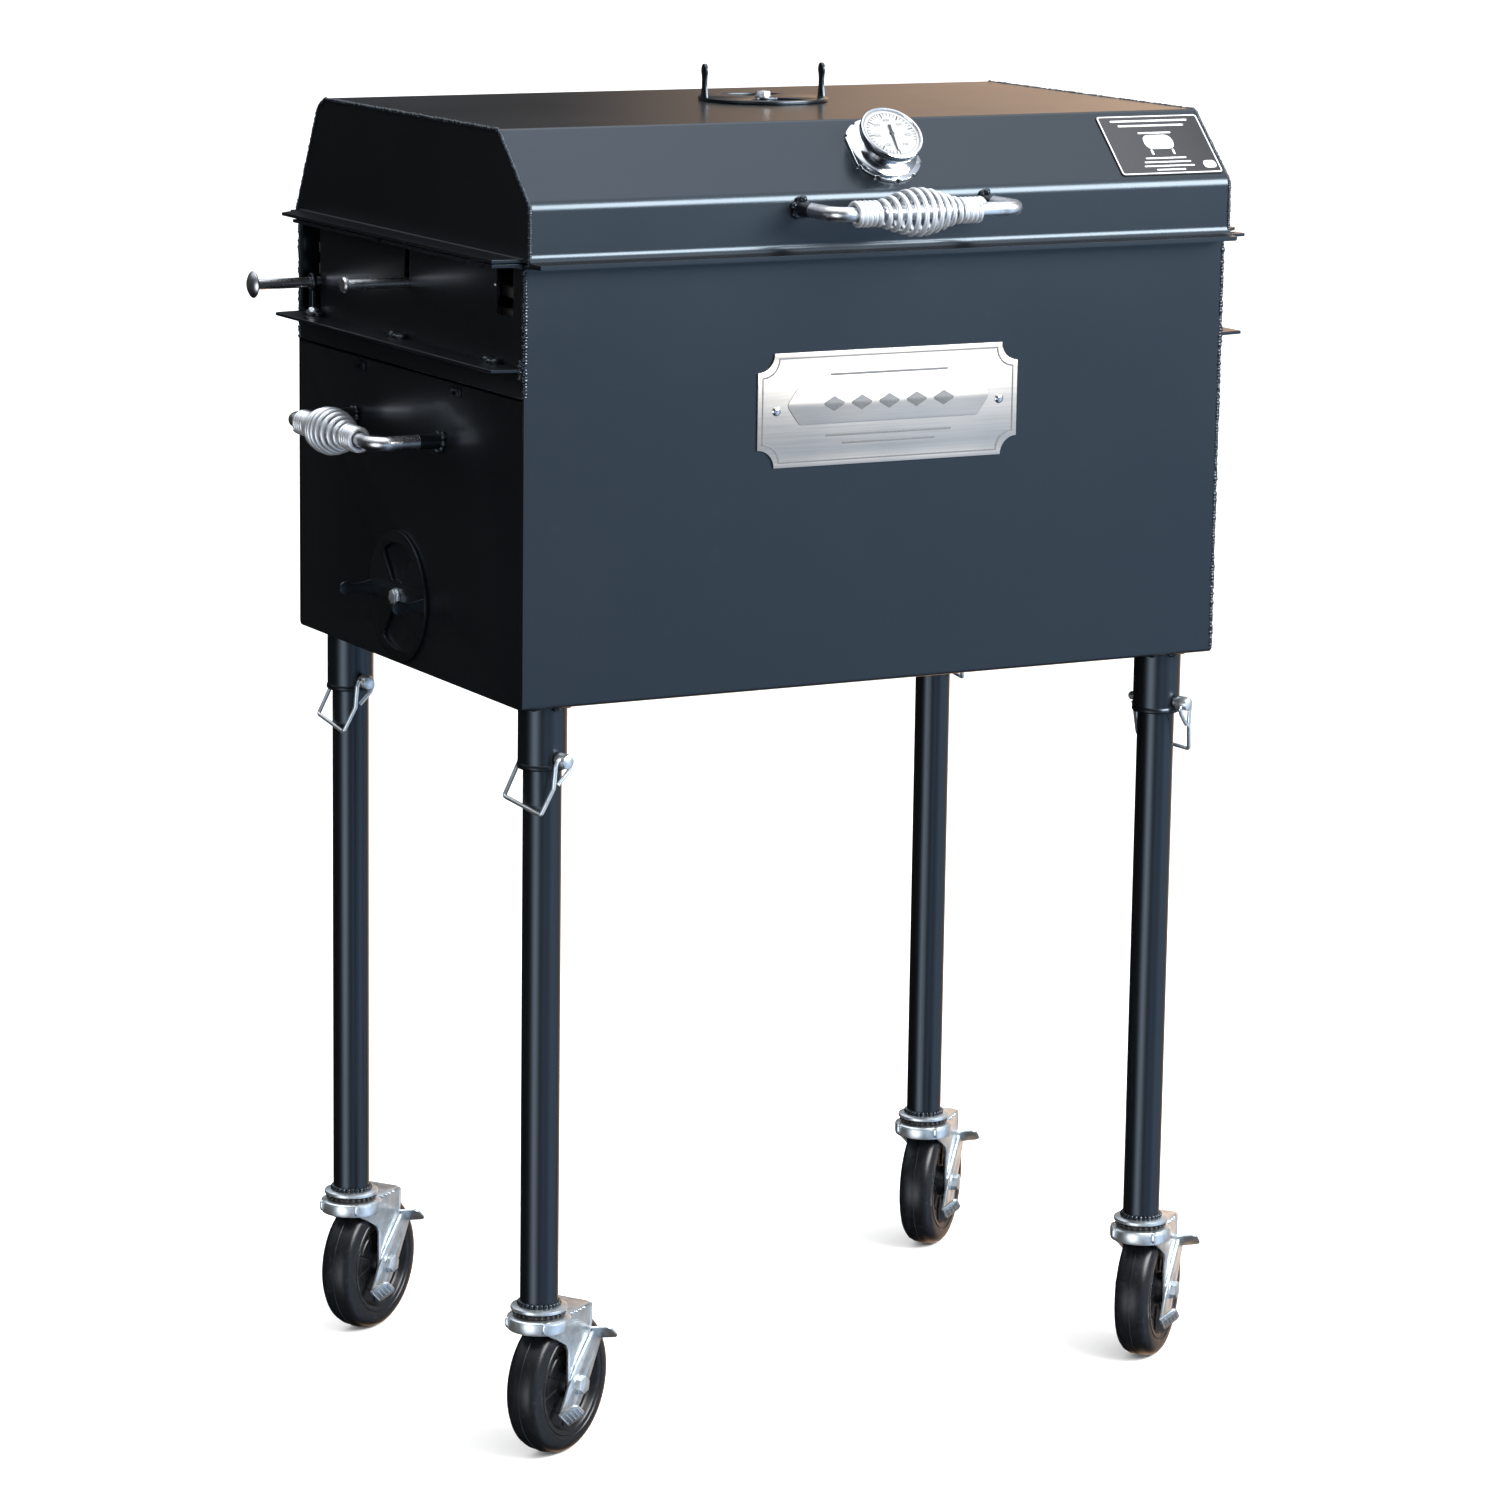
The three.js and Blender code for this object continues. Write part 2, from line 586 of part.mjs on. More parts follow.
// A flat-bar frame between z0 and z1, with rods across it just under its top.
function rodGrate([x0, x1], [y0, y1], [z0, z1], rodCount) {
  const wide = GRATE_BAR_THICKNESS;
  const frame = cut(box([x0, x1], [y0, y1], [z0, z1]),
    box([x0 + wide, x1 - wide], [y0 + wide, y1 - wide], [z0 - 1, z1 + 1]));
  const rods = [];
  for (let i = 1; i <= rodCount; i += 1) {
    const y = y0 + (y1 - y0) * i / (rodCount + 1);
    rods.push(box([x0 + WELD_SINK, x1 - WELD_SINK], [y - GRATE_ROD / 2, y + GRATE_ROD / 2],
      [z1 - GRATE_ROD_DROP - GRATE_ROD, z1 - GRATE_ROD_DROP]));
  }
  return join(frame, ...rods);
}

function charcoalGrate() {
  const inside = PAN_SHEET + CHARCOAL_GRATE_MARGIN;
  return rodGrate([panX0 + inside + DAMPER_NUT_ROOM, panX1 - inside],
    [PAN_SIDE_ROOM + inside - halfDepth, halfDepth - PAN_SIDE_ROOM - inside],
    [grateTop - CHARCOAL_GRATE_FRAME, grateTop], CHARCOAL_ROD_COUNT);
}

drawer.add(piece('drawer_front', drawerFront(), blackPaint));
drawer.add(piece('charcoal_pan', charcoalPan(), blackPaint));
drawer.add(piece('charcoal_grate', charcoalGrate(), bareSteel));
drawer.add(placed(handle({ bar: 'drawer_handle', grip: 'drawer_grip_spring' }, DRAWER_GRIP_SHIFT),
  faceLeft, -halfLength, DRAWER_HANDLE_OFFSET, DRAWER_HANDLE_HEIGHT));

const drawerDamper = new THREE.Group();
drawerDamper.add(piece('drawer_damper', damperDisc(), blackPaint));
drawerDamper.add(piece('drawer_damper_bolt', damperBolt(), zincPlate));
drawer.add(placed(drawerDamper, faceLeft, -halfLength, DRAWER_DAMPER.along, DRAWER_DAMPER.height));

// ---- Cooking grate on its axle, and the rod that locks it level --------------------

function cookingGrate(bottom) {
  const half = halfDepth - PAN_SIDE_ROOM;
  return rodGrate([-grateHalfLength, grateHalfLength], [-half, half],
    [bottom, bottom + GRATE_FRAME_HEIGHT], GRATE_ROD_COUNT);
}

function grateAxle() {
  const end = halfLength + AXLE_OVERHANG;
  const collar = AXLE_COLLAR / 2;
  return join(
    bar([-end, 0, axleHeight], [end, 0, axleHeight], AXLE_DIAMETER / 2),
    bar([-end - AXLE_COLLAR_THICKNESS, 0, axleHeight], [-end + WELD_SINK, 0, axleHeight], collar),
    bar([end - WELD_SINK, 0, axleHeight], [end + AXLE_COLLAR_THICKNESS, 0, axleHeight], collar),
  );
}

function lockRod() {
  const inner = -grateHalfLength + LOCK_ROD_ENGAGEMENT;
  const outer = -halfLength - LOCK_ROD_OVERHANG;
  const radius = LOCK_ROD_HEAD / 2;
  const head = turned([[0, 0], [radius, 0], [radius, 2], [radius * 0.6, 5], [0, 6]]);
  const place = faceLeft.clone().setPosition(outer + 1, lockRodY, lockRodHeight);
  return join(bar([outer, lockRodY, lockRodHeight], [inner, lockRodY, lockRodHeight],
    LOCK_ROD_DIAMETER / 2), moved(head, place));
}

body.add(piece('grate_lower', cookingGrate(axleHeight - grateGap - GRATE_FRAME_HEIGHT), stainless));
body.add(piece('grate_upper', cookingGrate(axleHeight + grateGap), stainless));
body.add(piece('grate_axle', grateAxle(), bareSteel));
body.add(piece('grate_lock_rod', lockRod(), bareSteel));

// ---- Lid ---------------------------------------------------------------------------

const lid = new THREE.Group();
body.add(lid);

const lidProfile = [
  [-lidHalfDepth, lidBottom],
  [-lidHalfDepth, creaseHeight],
  [bevelTopY, lidTop],
  [lidHalfDepth - LID_BACK_SLOPE - LID_BACK_KNEE_DEPTH, lidTop],
  [lidHalfDepth - LID_BACK_SLOPE, lidTop - LID_BACK_KNEE_DROP],
  [lidHalfDepth, lidBottom],
];

// The bevel's own frame: X along the lid, Y up the slope, Z out of it.
function bevelFrame(x, up) {
  const slope = new THREE.Vector3(0, Math.cos(bevelAngle), Math.sin(bevelAngle));
  const normal = new THREE.Vector3(0, -Math.sin(bevelAngle), Math.cos(bevelAngle));
  return new THREE.Matrix4()
    .makeBasis(new THREE.Vector3(1, 0, 0), slope, normal)
    .setPosition(x, -lidHalfDepth + slope.y * up, creaseHeight + slope.z * up);
}

const dialPlace = bevelFrame(DIAL_X, DIAL_UP_BEVEL);
const ventTurn = new THREE.Matrix4()
  .makeRotationZ(THREE.MathUtils.degToRad(LID_VENT.turn))
  .setPosition(LID_VENT.x, LID_VENT.y, lidTop);

function lidShell() {
  const inner = insideOf(lidProfile, SHEET).reverse();
  const band = plateX(outline([...lidProfile, ...inner]), -halfLength, halfLength);
  const end = outline(lidProfile);
  const z = [lidBottom, lidBottom + SHEET];
  const stemHole = moved(bar([0, 0, -SHEET - 2], [0, 0, 2], DIAL_STEM / 2 + GAP, 12), dialPlace);
  return cut(join(
    band,
    plateX(end, -halfLength, -halfLength + SHEET),
    plateX(end, halfLength - SHEET, halfLength),
    frontRim(halfLength, -lidHalfDepth, FLANGE_WIDTH, ...z, -1),
    frontRim(halfLength, lidHalfDepth, FLANGE_WIDTH, ...z, 1),
    endRim(-1, -lidHalfDepth, lidHalfDepth, END_FLANGE_WIDTH, REAR_FLANGE_CUT, ...z),
    endRim(1, -lidHalfDepth, lidHalfDepth, END_FLANGE_WIDTH, REAR_FLANGE_CUT, ...z),
  ), stemHole, moved(damperCut(), ventTurn));
}

lid.add(piece('lid_shell', lidShell(), blackPaint));
lid.add(placed(handle({ bar: 'lid_handle', grip: 'lid_grip_spring' }, LID_GRIP_SHIFT),
  faceFront, 0, -lidHalfDepth, creaseHeight - LID_HANDLE_DROP - HANDLE_BAR / 2));

const lidVent = new THREE.Group();
lidVent.applyMatrix4(ventTurn);
lidVent.add(piece('lid_vent_damper', damperDisc(), blackPaint));
lidVent.add(piece('lid_vent_bolt', damperBolt(), zincPlate));
lid.add(lidVent);

// ---- Thermometer: flange, cupped neck, bezel, dial, needle and glass ---------------

const dialFloor = DIAL_STANDOFF - 3;
const needleHub = 2.5;

function thermometerCase() {
  const bezel = DIAL_DIAMETER / 2;
  const well = bezel - 2.5;
  return turned([
    [0, -DIAL_STEM_LENGTH], [DIAL_STEM / 2, -DIAL_STEM_LENGTH], [DIAL_STEM / 2, GAP],
    [DIAL_FLANGE / 2, GAP], [DIAL_FLANGE / 2, 4], [bezel + 2, 5.5], [bezel - 4, 10],
    [bezel - 4, 14], [bezel, 17], [bezel, DIAL_STANDOFF + 1], [well, DIAL_STANDOFF + 1],
    [well, dialFloor], [0, dialFloor],
  ], 20);
}

function needle() {
  const z = [dialFloor + GAP, dialFloor + GAP + 0.6];
  const length = DIAL_DIAMETER / 2 - 7;
  const blade = plateZ(outline([[-1.2, 0], [0, length], [1.2, 0], [1.6, -8], [-1.6, -8]]), ...z);
  return join(blade, bar([0, 0, z[0]], [0, 0, z[1] + 0.6], needleHub, 12));
}

const thermometer = new THREE.Group();
thermometer.applyMatrix4(dialPlace);
thermometer.add(piece('thermometer_case', thermometerCase(), zincPlate));
const needlePiece = piece('thermometer_needle', needle(), blackLabel);
needlePiece.rotation.z = -THREE.MathUtils.degToRad(NEEDLE_REST);
thermometer.add(needlePiece);
thermometer.add(piece('thermometer_glass', bar([0, 0, DIAL_STANDOFF - GAP], [0, 0, DIAL_STANDOFF + 1],
  DIAL_DIAMETER / 2 - 2.5 - GAP - 0.4, 20), clearGlass));
lid.add(thermometer);

const labelPlace = new THREE.Group();
labelPlace.applyMatrix4(bevelFrame(halfLength - LABEL.fromEnd - LABEL.width / 2, LABEL.upBevel));
labelPlace.add(piece('label_plate', box([-LABEL.width / 2, LABEL.width / 2],
  [-LABEL.height / 2, LABEL.height / 2], [GAP, GAP + LABEL.thickness]), blackLabel));
lid.add(labelPlace);

// ---- Rear hinge: two strips with knuckles on one long rod --------------------------

const knuckleLength = HINGE_LENGTH / HINGE_KNUCKLE_COUNT;

// way = -1 for the strip welded to the body's rim, 1 for the one on the lid's rim.
function hingeStrip(way) {
  const y0 = hingeY - HINGE_BARREL / 2;
  const y = [y0, y0 + HINGE_STRIP];
  const rimGap = LID_SEAT_GAP / 2 + GAP;
  const far = hingeZ + way * HINGE_STRIP_DROP;
  const near = hingeZ + way * (HINGE_BARREL / 2 + GAP + 0.2);
  const own = hingeZ + way * rimGap;
  const leaf = [Math.min(far, near), Math.max(far, near)];
  const shapes = [box([-HINGE_LENGTH / 2, HINGE_LENGTH / 2], y, leaf)];
  const bores = [];
  for (let i = 0; i < HINGE_KNUCKLE_COUNT; i += 1) {
    if ((i % 2 === 0) !== (way === -1)) continue;
    const x0 = -HINGE_LENGTH / 2 + i * knuckleLength + GAP;
    const x1 = x0 + knuckleLength - 2 * GAP;
    shapes.push(bar([x0, hingeY, hingeZ], [x1, hingeY, hingeZ], HINGE_BARREL / 2));
    shapes.push(box([x0, x1], y, [Math.min(own, near + way), Math.max(own, near + way)]));
    bores.push(bar([x0 - 1, hingeY, hingeZ], [x1 + 1, hingeY, hingeZ], HINGE_ROD / 2 + GAP, 12));
  }
  return cut(join(...shapes), ...bores);
}

function hingeRod() {
  const end = HINGE_LENGTH / 2 + GAP;
  const head = HINGE_ROD_HEAD;
  return join(
    bar([-end - head, hingeY, hingeZ], [end + head, hingeY, hingeZ], HINGE_ROD / 2, 12),
    bar([-end - head, hingeY, hingeZ], [-end, hingeY, hingeZ], HINGE_ROD * 0.75, 12),
    bar([end, hingeY, hingeZ], [end + head, hingeY, hingeZ], HINGE_ROD * 0.75, 12),
  );
}

body.add(piece('hinge_strip_body', hingeStrip(-1), blackPaint));
lid.add(piece('hinge_strip_lid', hingeStrip(1), blackPaint));
body.add(piece('hinge_rod', hingeRod(), zincPlate));

// ---- Legs, lock pins and casters ---------------------------------------------------

const pinBore = PIN_DIAMETER / 2 + PIN_CLEARANCE / 2;

function pinDirection(turn) {
  return [Math.sin(turn), -Math.cos(turn)];
}

function socket(turn) {
  const [dx, dy] = pinDirection(turn);
  const reach = SOCKET_DIAMETER;
  const outer = bar([0, 0, -SOCKET_LENGTH], [0, 0, -GAP], SOCKET_DIAMETER / 2);
  const inner = bar([0, 0, -SOCKET_LENGTH - 1], [0, 0, 1], SOCKET_BORE / 2);
  const hole = bar([-dx * reach, -dy * reach, -PIN_DROP], [dx * reach, dy * reach, -PIN_DROP], pinBore, 8);
  return cut(outer, inner, hole);
}

// The pipe, with the caster's upper bearing ring welded under it and the king pin.
function leg(turn) {
  const [dx, dy] = pinDirection(turn);
  const reach = LEG_DIAMETER;
  const top = -LEG_TOP_GAP;
  const pipe = bar([0, 0, -LEG_REACH], [0, 0, top], LEG_DIAMETER / 2, 14);
  const bore = bar([0, 0, -LEG_REACH - 1], [0, 0, top + 1], LEG_BORE / 2, 8);
  const hole = bar([-dx * reach, -dy * reach, -PIN_DROP], [dx * reach, dy * reach, -PIN_DROP], pinBore, 8);
  const ringTop = -LEG_REACH + WELD_SINK;
  const ring = bar([0, 0, -LEG_REACH - RACE_THICKNESS], [0, 0, ringTop], RACE_DIAMETER / 2);
  const crownTop = WHEEL_DIAMETER + CROWN_LIFT + CROWN_SHEET - CASTER_HEIGHT - LEG_REACH;
  const underCrown = crownTop - CROWN_SHEET - GAP;
  const kingBottom = underCrown - KINGPIN_HEAD_THICKNESS;
  const king = bar([0, 0, kingBottom], [0, 0, -LEG_REACH], KINGPIN_DIAMETER / 2, 8);
  const kingHead = bar([0, 0, kingBottom], [0, 0, underCrown], KINGPIN_HEAD / 2, 8);
  return join(cut(pipe, bore, hole), ring, king, kingHead);
}

// The wire hangs in a plane through the pin, leaning out so that it passes the leg.
const bailLean = Math.asin((LEG_DIAMETER / 2 + BAIL_WIRE / 2 + BAIL_LEG_GAP) / (BAIL_REACH - BAIL_WIRE));
const pinHeadMiddle = PIN_HEAD_START + PIN_HEAD_LENGTH / 2;

// The pin runs along Y with its head towards -Y; a hole in the head takes the leaning wire.
function lockPin(side) {
  const shank = bar([0, PIN_TAIL, 0], [0, -PIN_HEAD_START - 1, 0], PIN_DIAMETER / 2, 12);
  const headEnd = -PIN_HEAD_START - PIN_HEAD_LENGTH;
  const head = bar([0, -PIN_HEAD_START, 0], [0, headEnd, 0], PIN_HEAD_DIAMETER / 2, 12);
  const out = [side * Math.sin(bailLean), -Math.cos(bailLean)].map((part) => part * PIN_HEAD_DIAMETER);
  const wireHole = BAIL_WIRE / 2 + BAIL_LEG_GAP;
  const hole = bar([0, -pinHeadMiddle, 0], [out[0], -pinHeadMiddle, out[1]], wireHole, 8);
  return cut(join(shank, head), hole);
}

function pinBail() {
  const tail = PIN_TAIL - 3;
  const under = -(PIN_DIAMETER / 2 + BAIL_WIRE / 2 + GAP);
  return bentBar([
    [0, -pinHeadMiddle, -2], [0, -pinHeadMiddle, -BAIL_REACH * 0.4],
    [0, -pinHeadMiddle + 7, -BAIL_REACH], [0, tail + BAIL_FLARE, BAIL_RISE - BAIL_REACH],
    [0, tail, under],
  ], BAIL_WIRE / 2, 4, 24, 6);
}

const axleZ = WHEEL_DIAMETER / 2;
const forkInner = WHEEL_WIDTH / 2 + 1.5;
const forkOuter = forkInner + FORK_SHEET;
const brakeInner = forkOuter + GAP;
const brakeOuter = brakeInner + BRAKE_SHEET;
const boltBore = CASTER_BOLT / 2 + GAP;

// Caster pieces stand on z = 0 with the swivel axis on Z; the wheel trails towards +X
// and the brake is on the -Y side.
function casterFork() {
  const crownBottom = WHEEL_DIAMETER + CROWN_LIFT;
  const crownTop = crownBottom + CROWN_SHEET;
  const front = -CROWN_DIAMETER * 0.42;
  const back = CASTER_TRAIL + 26;
  const side = new THREE.Shape();
  side.moveTo(front, crownTop);
  side.lineTo(back, crownTop);
  side.lineTo(back, crownTop - 18);
  side.lineTo(CASTER_TRAIL + 13, axleZ + 3);
  side.absarc(CASTER_TRAIL, axleZ, 13, 0, Math.PI, true);
  side.lineTo(CASTER_TRAIL - 13, axleZ + 38);
  side.lineTo(front, crownBottom - 6);
  const crown = join(
    bar([0, 0, crownBottom], [0, 0, crownTop], CROWN_DIAMETER / 2),
    box([0, back], [-forkOuter, forkOuter], [crownBottom, crownTop]),
  );
  const reach = forkOuter + 1;
  const bolt = bar([CASTER_TRAIL, -reach, axleZ], [CASTER_TRAIL, reach, axleZ], boltBore, 12);
  const kingBore = KINGPIN_DIAMETER / 2 + 2 * GAP;
  const king = bar([0, 0, crownBottom - 1], [0, 0, crownTop + 1], kingBore, 8);
  const sides = [[-forkOuter, -forkInner], [forkInner, forkOuter]]
    .map(([y0, y1]) => plateY(side, y0, y1, 5));
  return cut(join(crown, ...sides), bolt, king);
}

// Turned about Y, with a flat facet at the bottom.
function wheel() {
  const sides = 18;
  const radius = (WHEEL_DIAMETER / 2) / Math.cos(Math.PI / sides);
  const half = WHEEL_WIDTH / 2;
  const hub = WHEEL_HUB / 2;
  const rim = radius * 0.66;
  const hubHalf = forkInner - FORK_SIDE_GAP;
  const shape = turned([
    [boltBore, -hubHalf], [hub, -hubHalf], [hub, -half + 7], [rim, -half + 7],
    [rim, -half], [radius - 5, -half], [radius, -half + 5], [radius, half - 5],
    [radius - 5, half], [rim, half], [rim, half - 7], [hub, half - 7],
    [hub, hubHalf], [boltBore, hubHalf], [boltBore, -hubHalf],
  ], sides);
  const upright = new THREE.Matrix4().makeRotationX(Math.PI / 2)
    .multiply(new THREE.Matrix4().makeRotationZ(Math.PI / sides));
  return moved(shape, upright);
}

function axleBolt() {
  const head = CASTER_BOLT_HEAD / 2;
  const brakeFace = -brakeOuter - GAP;
  const nutFace = forkOuter + GAP;
  return join(
    bar([0, brakeFace - 5, 0], [0, nutFace + 10, 0], CASTER_BOLT / 2, 12),
    bar([0, brakeFace - 6, 0], [0, brakeFace, 0], head, 6),
    bar([0, nutFace, 0], [0, nutFace + 8, 0], head, 6),
  );
}

// A lever plate across the axle with a pad bent out at each end.
function brakeLever() {
  const plate = outline([
    [-36, -9], [-12, -13], [12, -13], [44, -8], [50, 8], [12, 13], [-12, 13], [-36, 9],
  ]);
  const padY = [-brakeInner - BRAKE_PAD, -brakeInner];
  const tilt = new THREE.Matrix4().makeRotationY(-THREE.MathUtils.degToRad(50));
  const lever = cut(join(
    plateY(plate, -brakeOuter, -brakeInner),
    box([48, 48 + BRAKE_SHEET], padY, [-8, 12]),
    box([-36, -36 + BRAKE_SHEET], padY, [-11, 9]),
  ), bar([0, -brakeOuter - 1, 0], [0, -brakeInner + 1, 0], boltBore, 12));
  return moved(lever, tilt);
}

for (const corner of CORNERS) {
  const turn = THREE.MathUtils.degToRad(corner.pinTurn);
  const station = new THREE.Group();
  station.position.set(corner.side * (halfLength - LEG_INSET_X), corner.end * (halfDepth - LEG_INSET_Y), 0);
  body.add(station);
  station.add(piece(`leg_socket_${corner.name}`, socket(turn), blackPaint));
  station.add(piece(`leg_${corner.name}`, leg(turn), blackPaint));

  const pinPlace = new THREE.Group();
  pinPlace.position.z = -PIN_DROP;
  pinPlace.rotation.z = turn;
  pinPlace.add(piece(`lock_pin_${corner.name}`, lockPin(corner.side), zincPlate));
  const bail = piece(`pin_bail_${corner.name}`, pinBail(), zincPlate);
  bail.rotation.y = -corner.side * bailLean;
  pinPlace.add(bail);
  station.add(pinPlace);

  const caster = new THREE.Group();
  caster.position.z = -floorToBody;
  caster.rotation.z = THREE.MathUtils.degToRad(corner.casterTurn);
  caster.add(piece(`caster_fork_${corner.name}`, casterFork(), zincPlate));
  const hub = new THREE.Group();
  hub.position.set(CASTER_TRAIL, 0, axleZ);
  hub.add(piece(`wheel_${corner.name}`, wheel(), hardRubber));
  hub.add(piece(`axle_bolt_${corner.name}`, axleBolt(), zincPlate));
  hub.add(piece(`brake_lever_${corner.name}`, brakeLever(), zincPlate));
  caster.add(hub);
  station.add(caster);
}

// ---- Origin under the middle of the overall box ------------------------------------

model.updateMatrixWorld(true);
const middle = new THREE.Box3().setFromObject(model, true).getCenter(new THREE.Vector3());
model.position.set(-middle.x, -middle.y, 0);
const group = new THREE.Group();
group.add(model);

export default group;
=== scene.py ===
# Charcoal cooker on four caster legs: folded sheet-steel box with a hinged lid, a pull-out
# charcoal drawer, spring-grip handles, turning dampers and zinc-plated casters.
# Lengths are millimetres from the middle of the body's bottom until a piece is finished,
# which puts it in the frame in metres.

import math

import bmesh
import bpy
from mathutils import Matrix, Vector, noise


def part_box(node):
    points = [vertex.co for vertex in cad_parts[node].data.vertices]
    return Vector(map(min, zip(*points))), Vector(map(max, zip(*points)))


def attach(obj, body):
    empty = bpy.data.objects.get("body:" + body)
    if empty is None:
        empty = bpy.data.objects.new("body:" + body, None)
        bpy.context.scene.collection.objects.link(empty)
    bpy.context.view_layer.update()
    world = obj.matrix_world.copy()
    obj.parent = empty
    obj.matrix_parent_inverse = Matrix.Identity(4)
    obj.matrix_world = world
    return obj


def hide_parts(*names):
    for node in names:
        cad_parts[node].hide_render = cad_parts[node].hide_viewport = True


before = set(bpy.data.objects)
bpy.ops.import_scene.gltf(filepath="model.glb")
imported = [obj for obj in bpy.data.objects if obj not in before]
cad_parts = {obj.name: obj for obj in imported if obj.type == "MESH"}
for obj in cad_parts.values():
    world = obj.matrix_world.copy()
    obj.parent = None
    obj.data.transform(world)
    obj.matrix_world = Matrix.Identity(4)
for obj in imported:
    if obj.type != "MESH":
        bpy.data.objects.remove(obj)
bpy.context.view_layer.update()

MM = 0.001
SHEET = 3.0

shell_low, shell_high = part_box("body_shell")
ORIGIN = Vector(((shell_low.x + shell_high.x) / 2, (shell_low.y + shell_high.y) / 2, shell_low.z))
FLOOR = -shell_low.z / MM

HALF_LENGTH = (shell_high.x - shell_low.x) / 2 / MM
RIM_TOP = (shell_high.z - shell_low.z) / MM
FRONT_RIM = 24.0
END_RIM = 26.5
HALF_DEPTH = (shell_high.y - shell_low.y) / 2 / MM - FRONT_RIM


# ---- Node graphs -----------------------------------------------------------------------


class Value:
    """A node socket that takes part in sums, so that an expression adds its Math nodes."""

    def __init__(self, graph, socket):
        self.graph = graph
        self.socket = socket

    def maths(self, operation, *others):
        return self.graph.node("ShaderNodeMath", {"operation": operation}, *others)

    def sine(self):
        return self.maths("SINE", self)


def joined(operation, backwards=False):
    """A method of Value that adds one Math node with two inputs."""
    def method(value, other):
        return value.maths(operation, *((other, value) if backwards else (value, other)))
    return method


for title, node in (("add", "ADD"), ("sub", "SUBTRACT"), ("mul", "MULTIPLY"), ("truediv", "DIVIDE"),
                    ("pow", "POWER")):
    setattr(Value, f"__{title}__", joined(node))
for title, node in (("add", "ADD"), ("sub", "SUBTRACT")):
    setattr(Value, f"__r{title}__", joined(node, backwards=True))
for title, node in (("above", "GREATER_THAN"), ("least", "MINIMUM"), ("most", "MAXIMUM")):
    setattr(Value, title, joined(node))


class Graph:
    """A node tree, with one method that adds any node."""

    def __init__(self, tree):
        self.tree = tree

    def add(self, kind, settings=None, *inputs, **named):
        made = self.tree.nodes.new(kind)
        for name, value in (settings or {}).items():
            if name == "stops":
                ramp = made.color_ramp
                while len(ramp.elements) < len(value):
                    ramp.elements.new(0.5)
                for element, (place, color) in zip(ramp.elements, value):
                    element.position = place
                    element.color = (*color, 1.0)
            else:
                setattr(made, name, value)
        for index, value in enumerate(inputs):
            self.feed(made.inputs[index], value)
        for name, value in named.items():
            self.feed(made.inputs[name.replace("_", " ")], value)
        return made

    def feed(self, socket, value):
        if value is None:
            return
        if isinstance(value, Value):
            self.tree.links.new(value.socket, socket)
        elif isinstance(value, bpy.types.NodeSocket):
            self.tree.links.new(value, socket)
        else:
            socket.default_value = value

    def node(self, kind, settings=None, *inputs, out=0, **named):
        made = self.add(kind, settings, *inputs, **named)
        return Value(self, made.outputs[out])

    def mix(self, share, low, high):
        made = self.add("ShaderNodeMix", {"data_type": "RGBA"})
        self.feed(made.inputs[0], share)
        self.feed(made.inputs[6], low)
        self.feed(made.inputs[7], high)
        return Value(self, made.outputs[2])

    def ramp(self, value, stops):
        return self.node("ShaderNodeValToRGB", {"stops": stops}, value)

    def noise(self, place, scale, detail=3.0, roughness=0.55):
        return self.node("ShaderNodeTexNoise", None, Vector=place, Scale=scale, Detail=detail,
                         Roughness=roughness)

    def stretch(self, place, scale):
        return self.node("ShaderNodeMapping", None, Vector=place, Scale=scale)


class Finish(Graph):
    """A material whose pattern is laid out in the object's own coordinates."""

    def __init__(self, name, **constants):
        self.material = bpy.data.materials.new(name)
        self.material.use_nodes = True
        super().__init__(self.material.node_tree)
        self.shader = self.tree.nodes["Principled BSDF"]
        self.place = self.node("ShaderNodeTexCoord", out="Object")
        for socket, value in constants.items():
            self.shader.inputs[socket.replace("_", " ")].default_value = value

    def set(self, **sockets):
        for name, value in sockets.items():
            self.feed(self.shader.inputs[name.replace("_", " ")], value)

    def bump(self, height, strength, distance):
        self.set(Normal=self.node("ShaderNodeBump", None, Height=height, Strength=strength,
                                  Distance=distance, out="Normal"))


# ---- Finishes --------------------------------------------------------------------------


def mottled(name, scale, low, high, roughness, spread, detail=3.0, relief=None, **constants):
    """A finish whose colour and roughness follow one noise. relief is scale, detail, strength, depth."""
    made = Finish(name, **constants)
    cloud = made.noise(made.place, scale, detail)
    made.set(Base_Color=made.mix(cloud, (*low, 1), (*high, 1)))
    made.set(Roughness=roughness + cloud * spread)
    if relief:
        grain, fineness, strength, depth = relief
        made.bump(made.noise(made.place, grain, fineness), strength, depth)
    return made.material


def black_paint():
    made = Finish("black_paint", Specular_IOR_Level=0.5, Coat_Roughness=0.16,
                  Specular_Tint=(0.62, 0.82, 1.0, 1))
    cloud = made.noise(made.place, 5.0, 4.0)
    speckle = made.noise(made.place, 900.0, 2.0)
    peel = made.noise(made.place, 320.0, 2.0, 0.5)
    dust = made.noise(made.place, 60.0, 6.0, 0.7)
    made.set(Base_Color=made.mix(cloud, (0.0012, 0.0013, 0.0017, 1), (0.0024, 0.0026, 0.0032, 1)))
    made.set(Roughness=0.25 + cloud * 0.1 + dust.above(0.66) * 0.04)
    made.set(Coat_Weight=0.35 - cloud * 0.2)
    made.bump(peel * 0.7 + speckle * 0.3, 0.1, 0.00012)
    return made.material


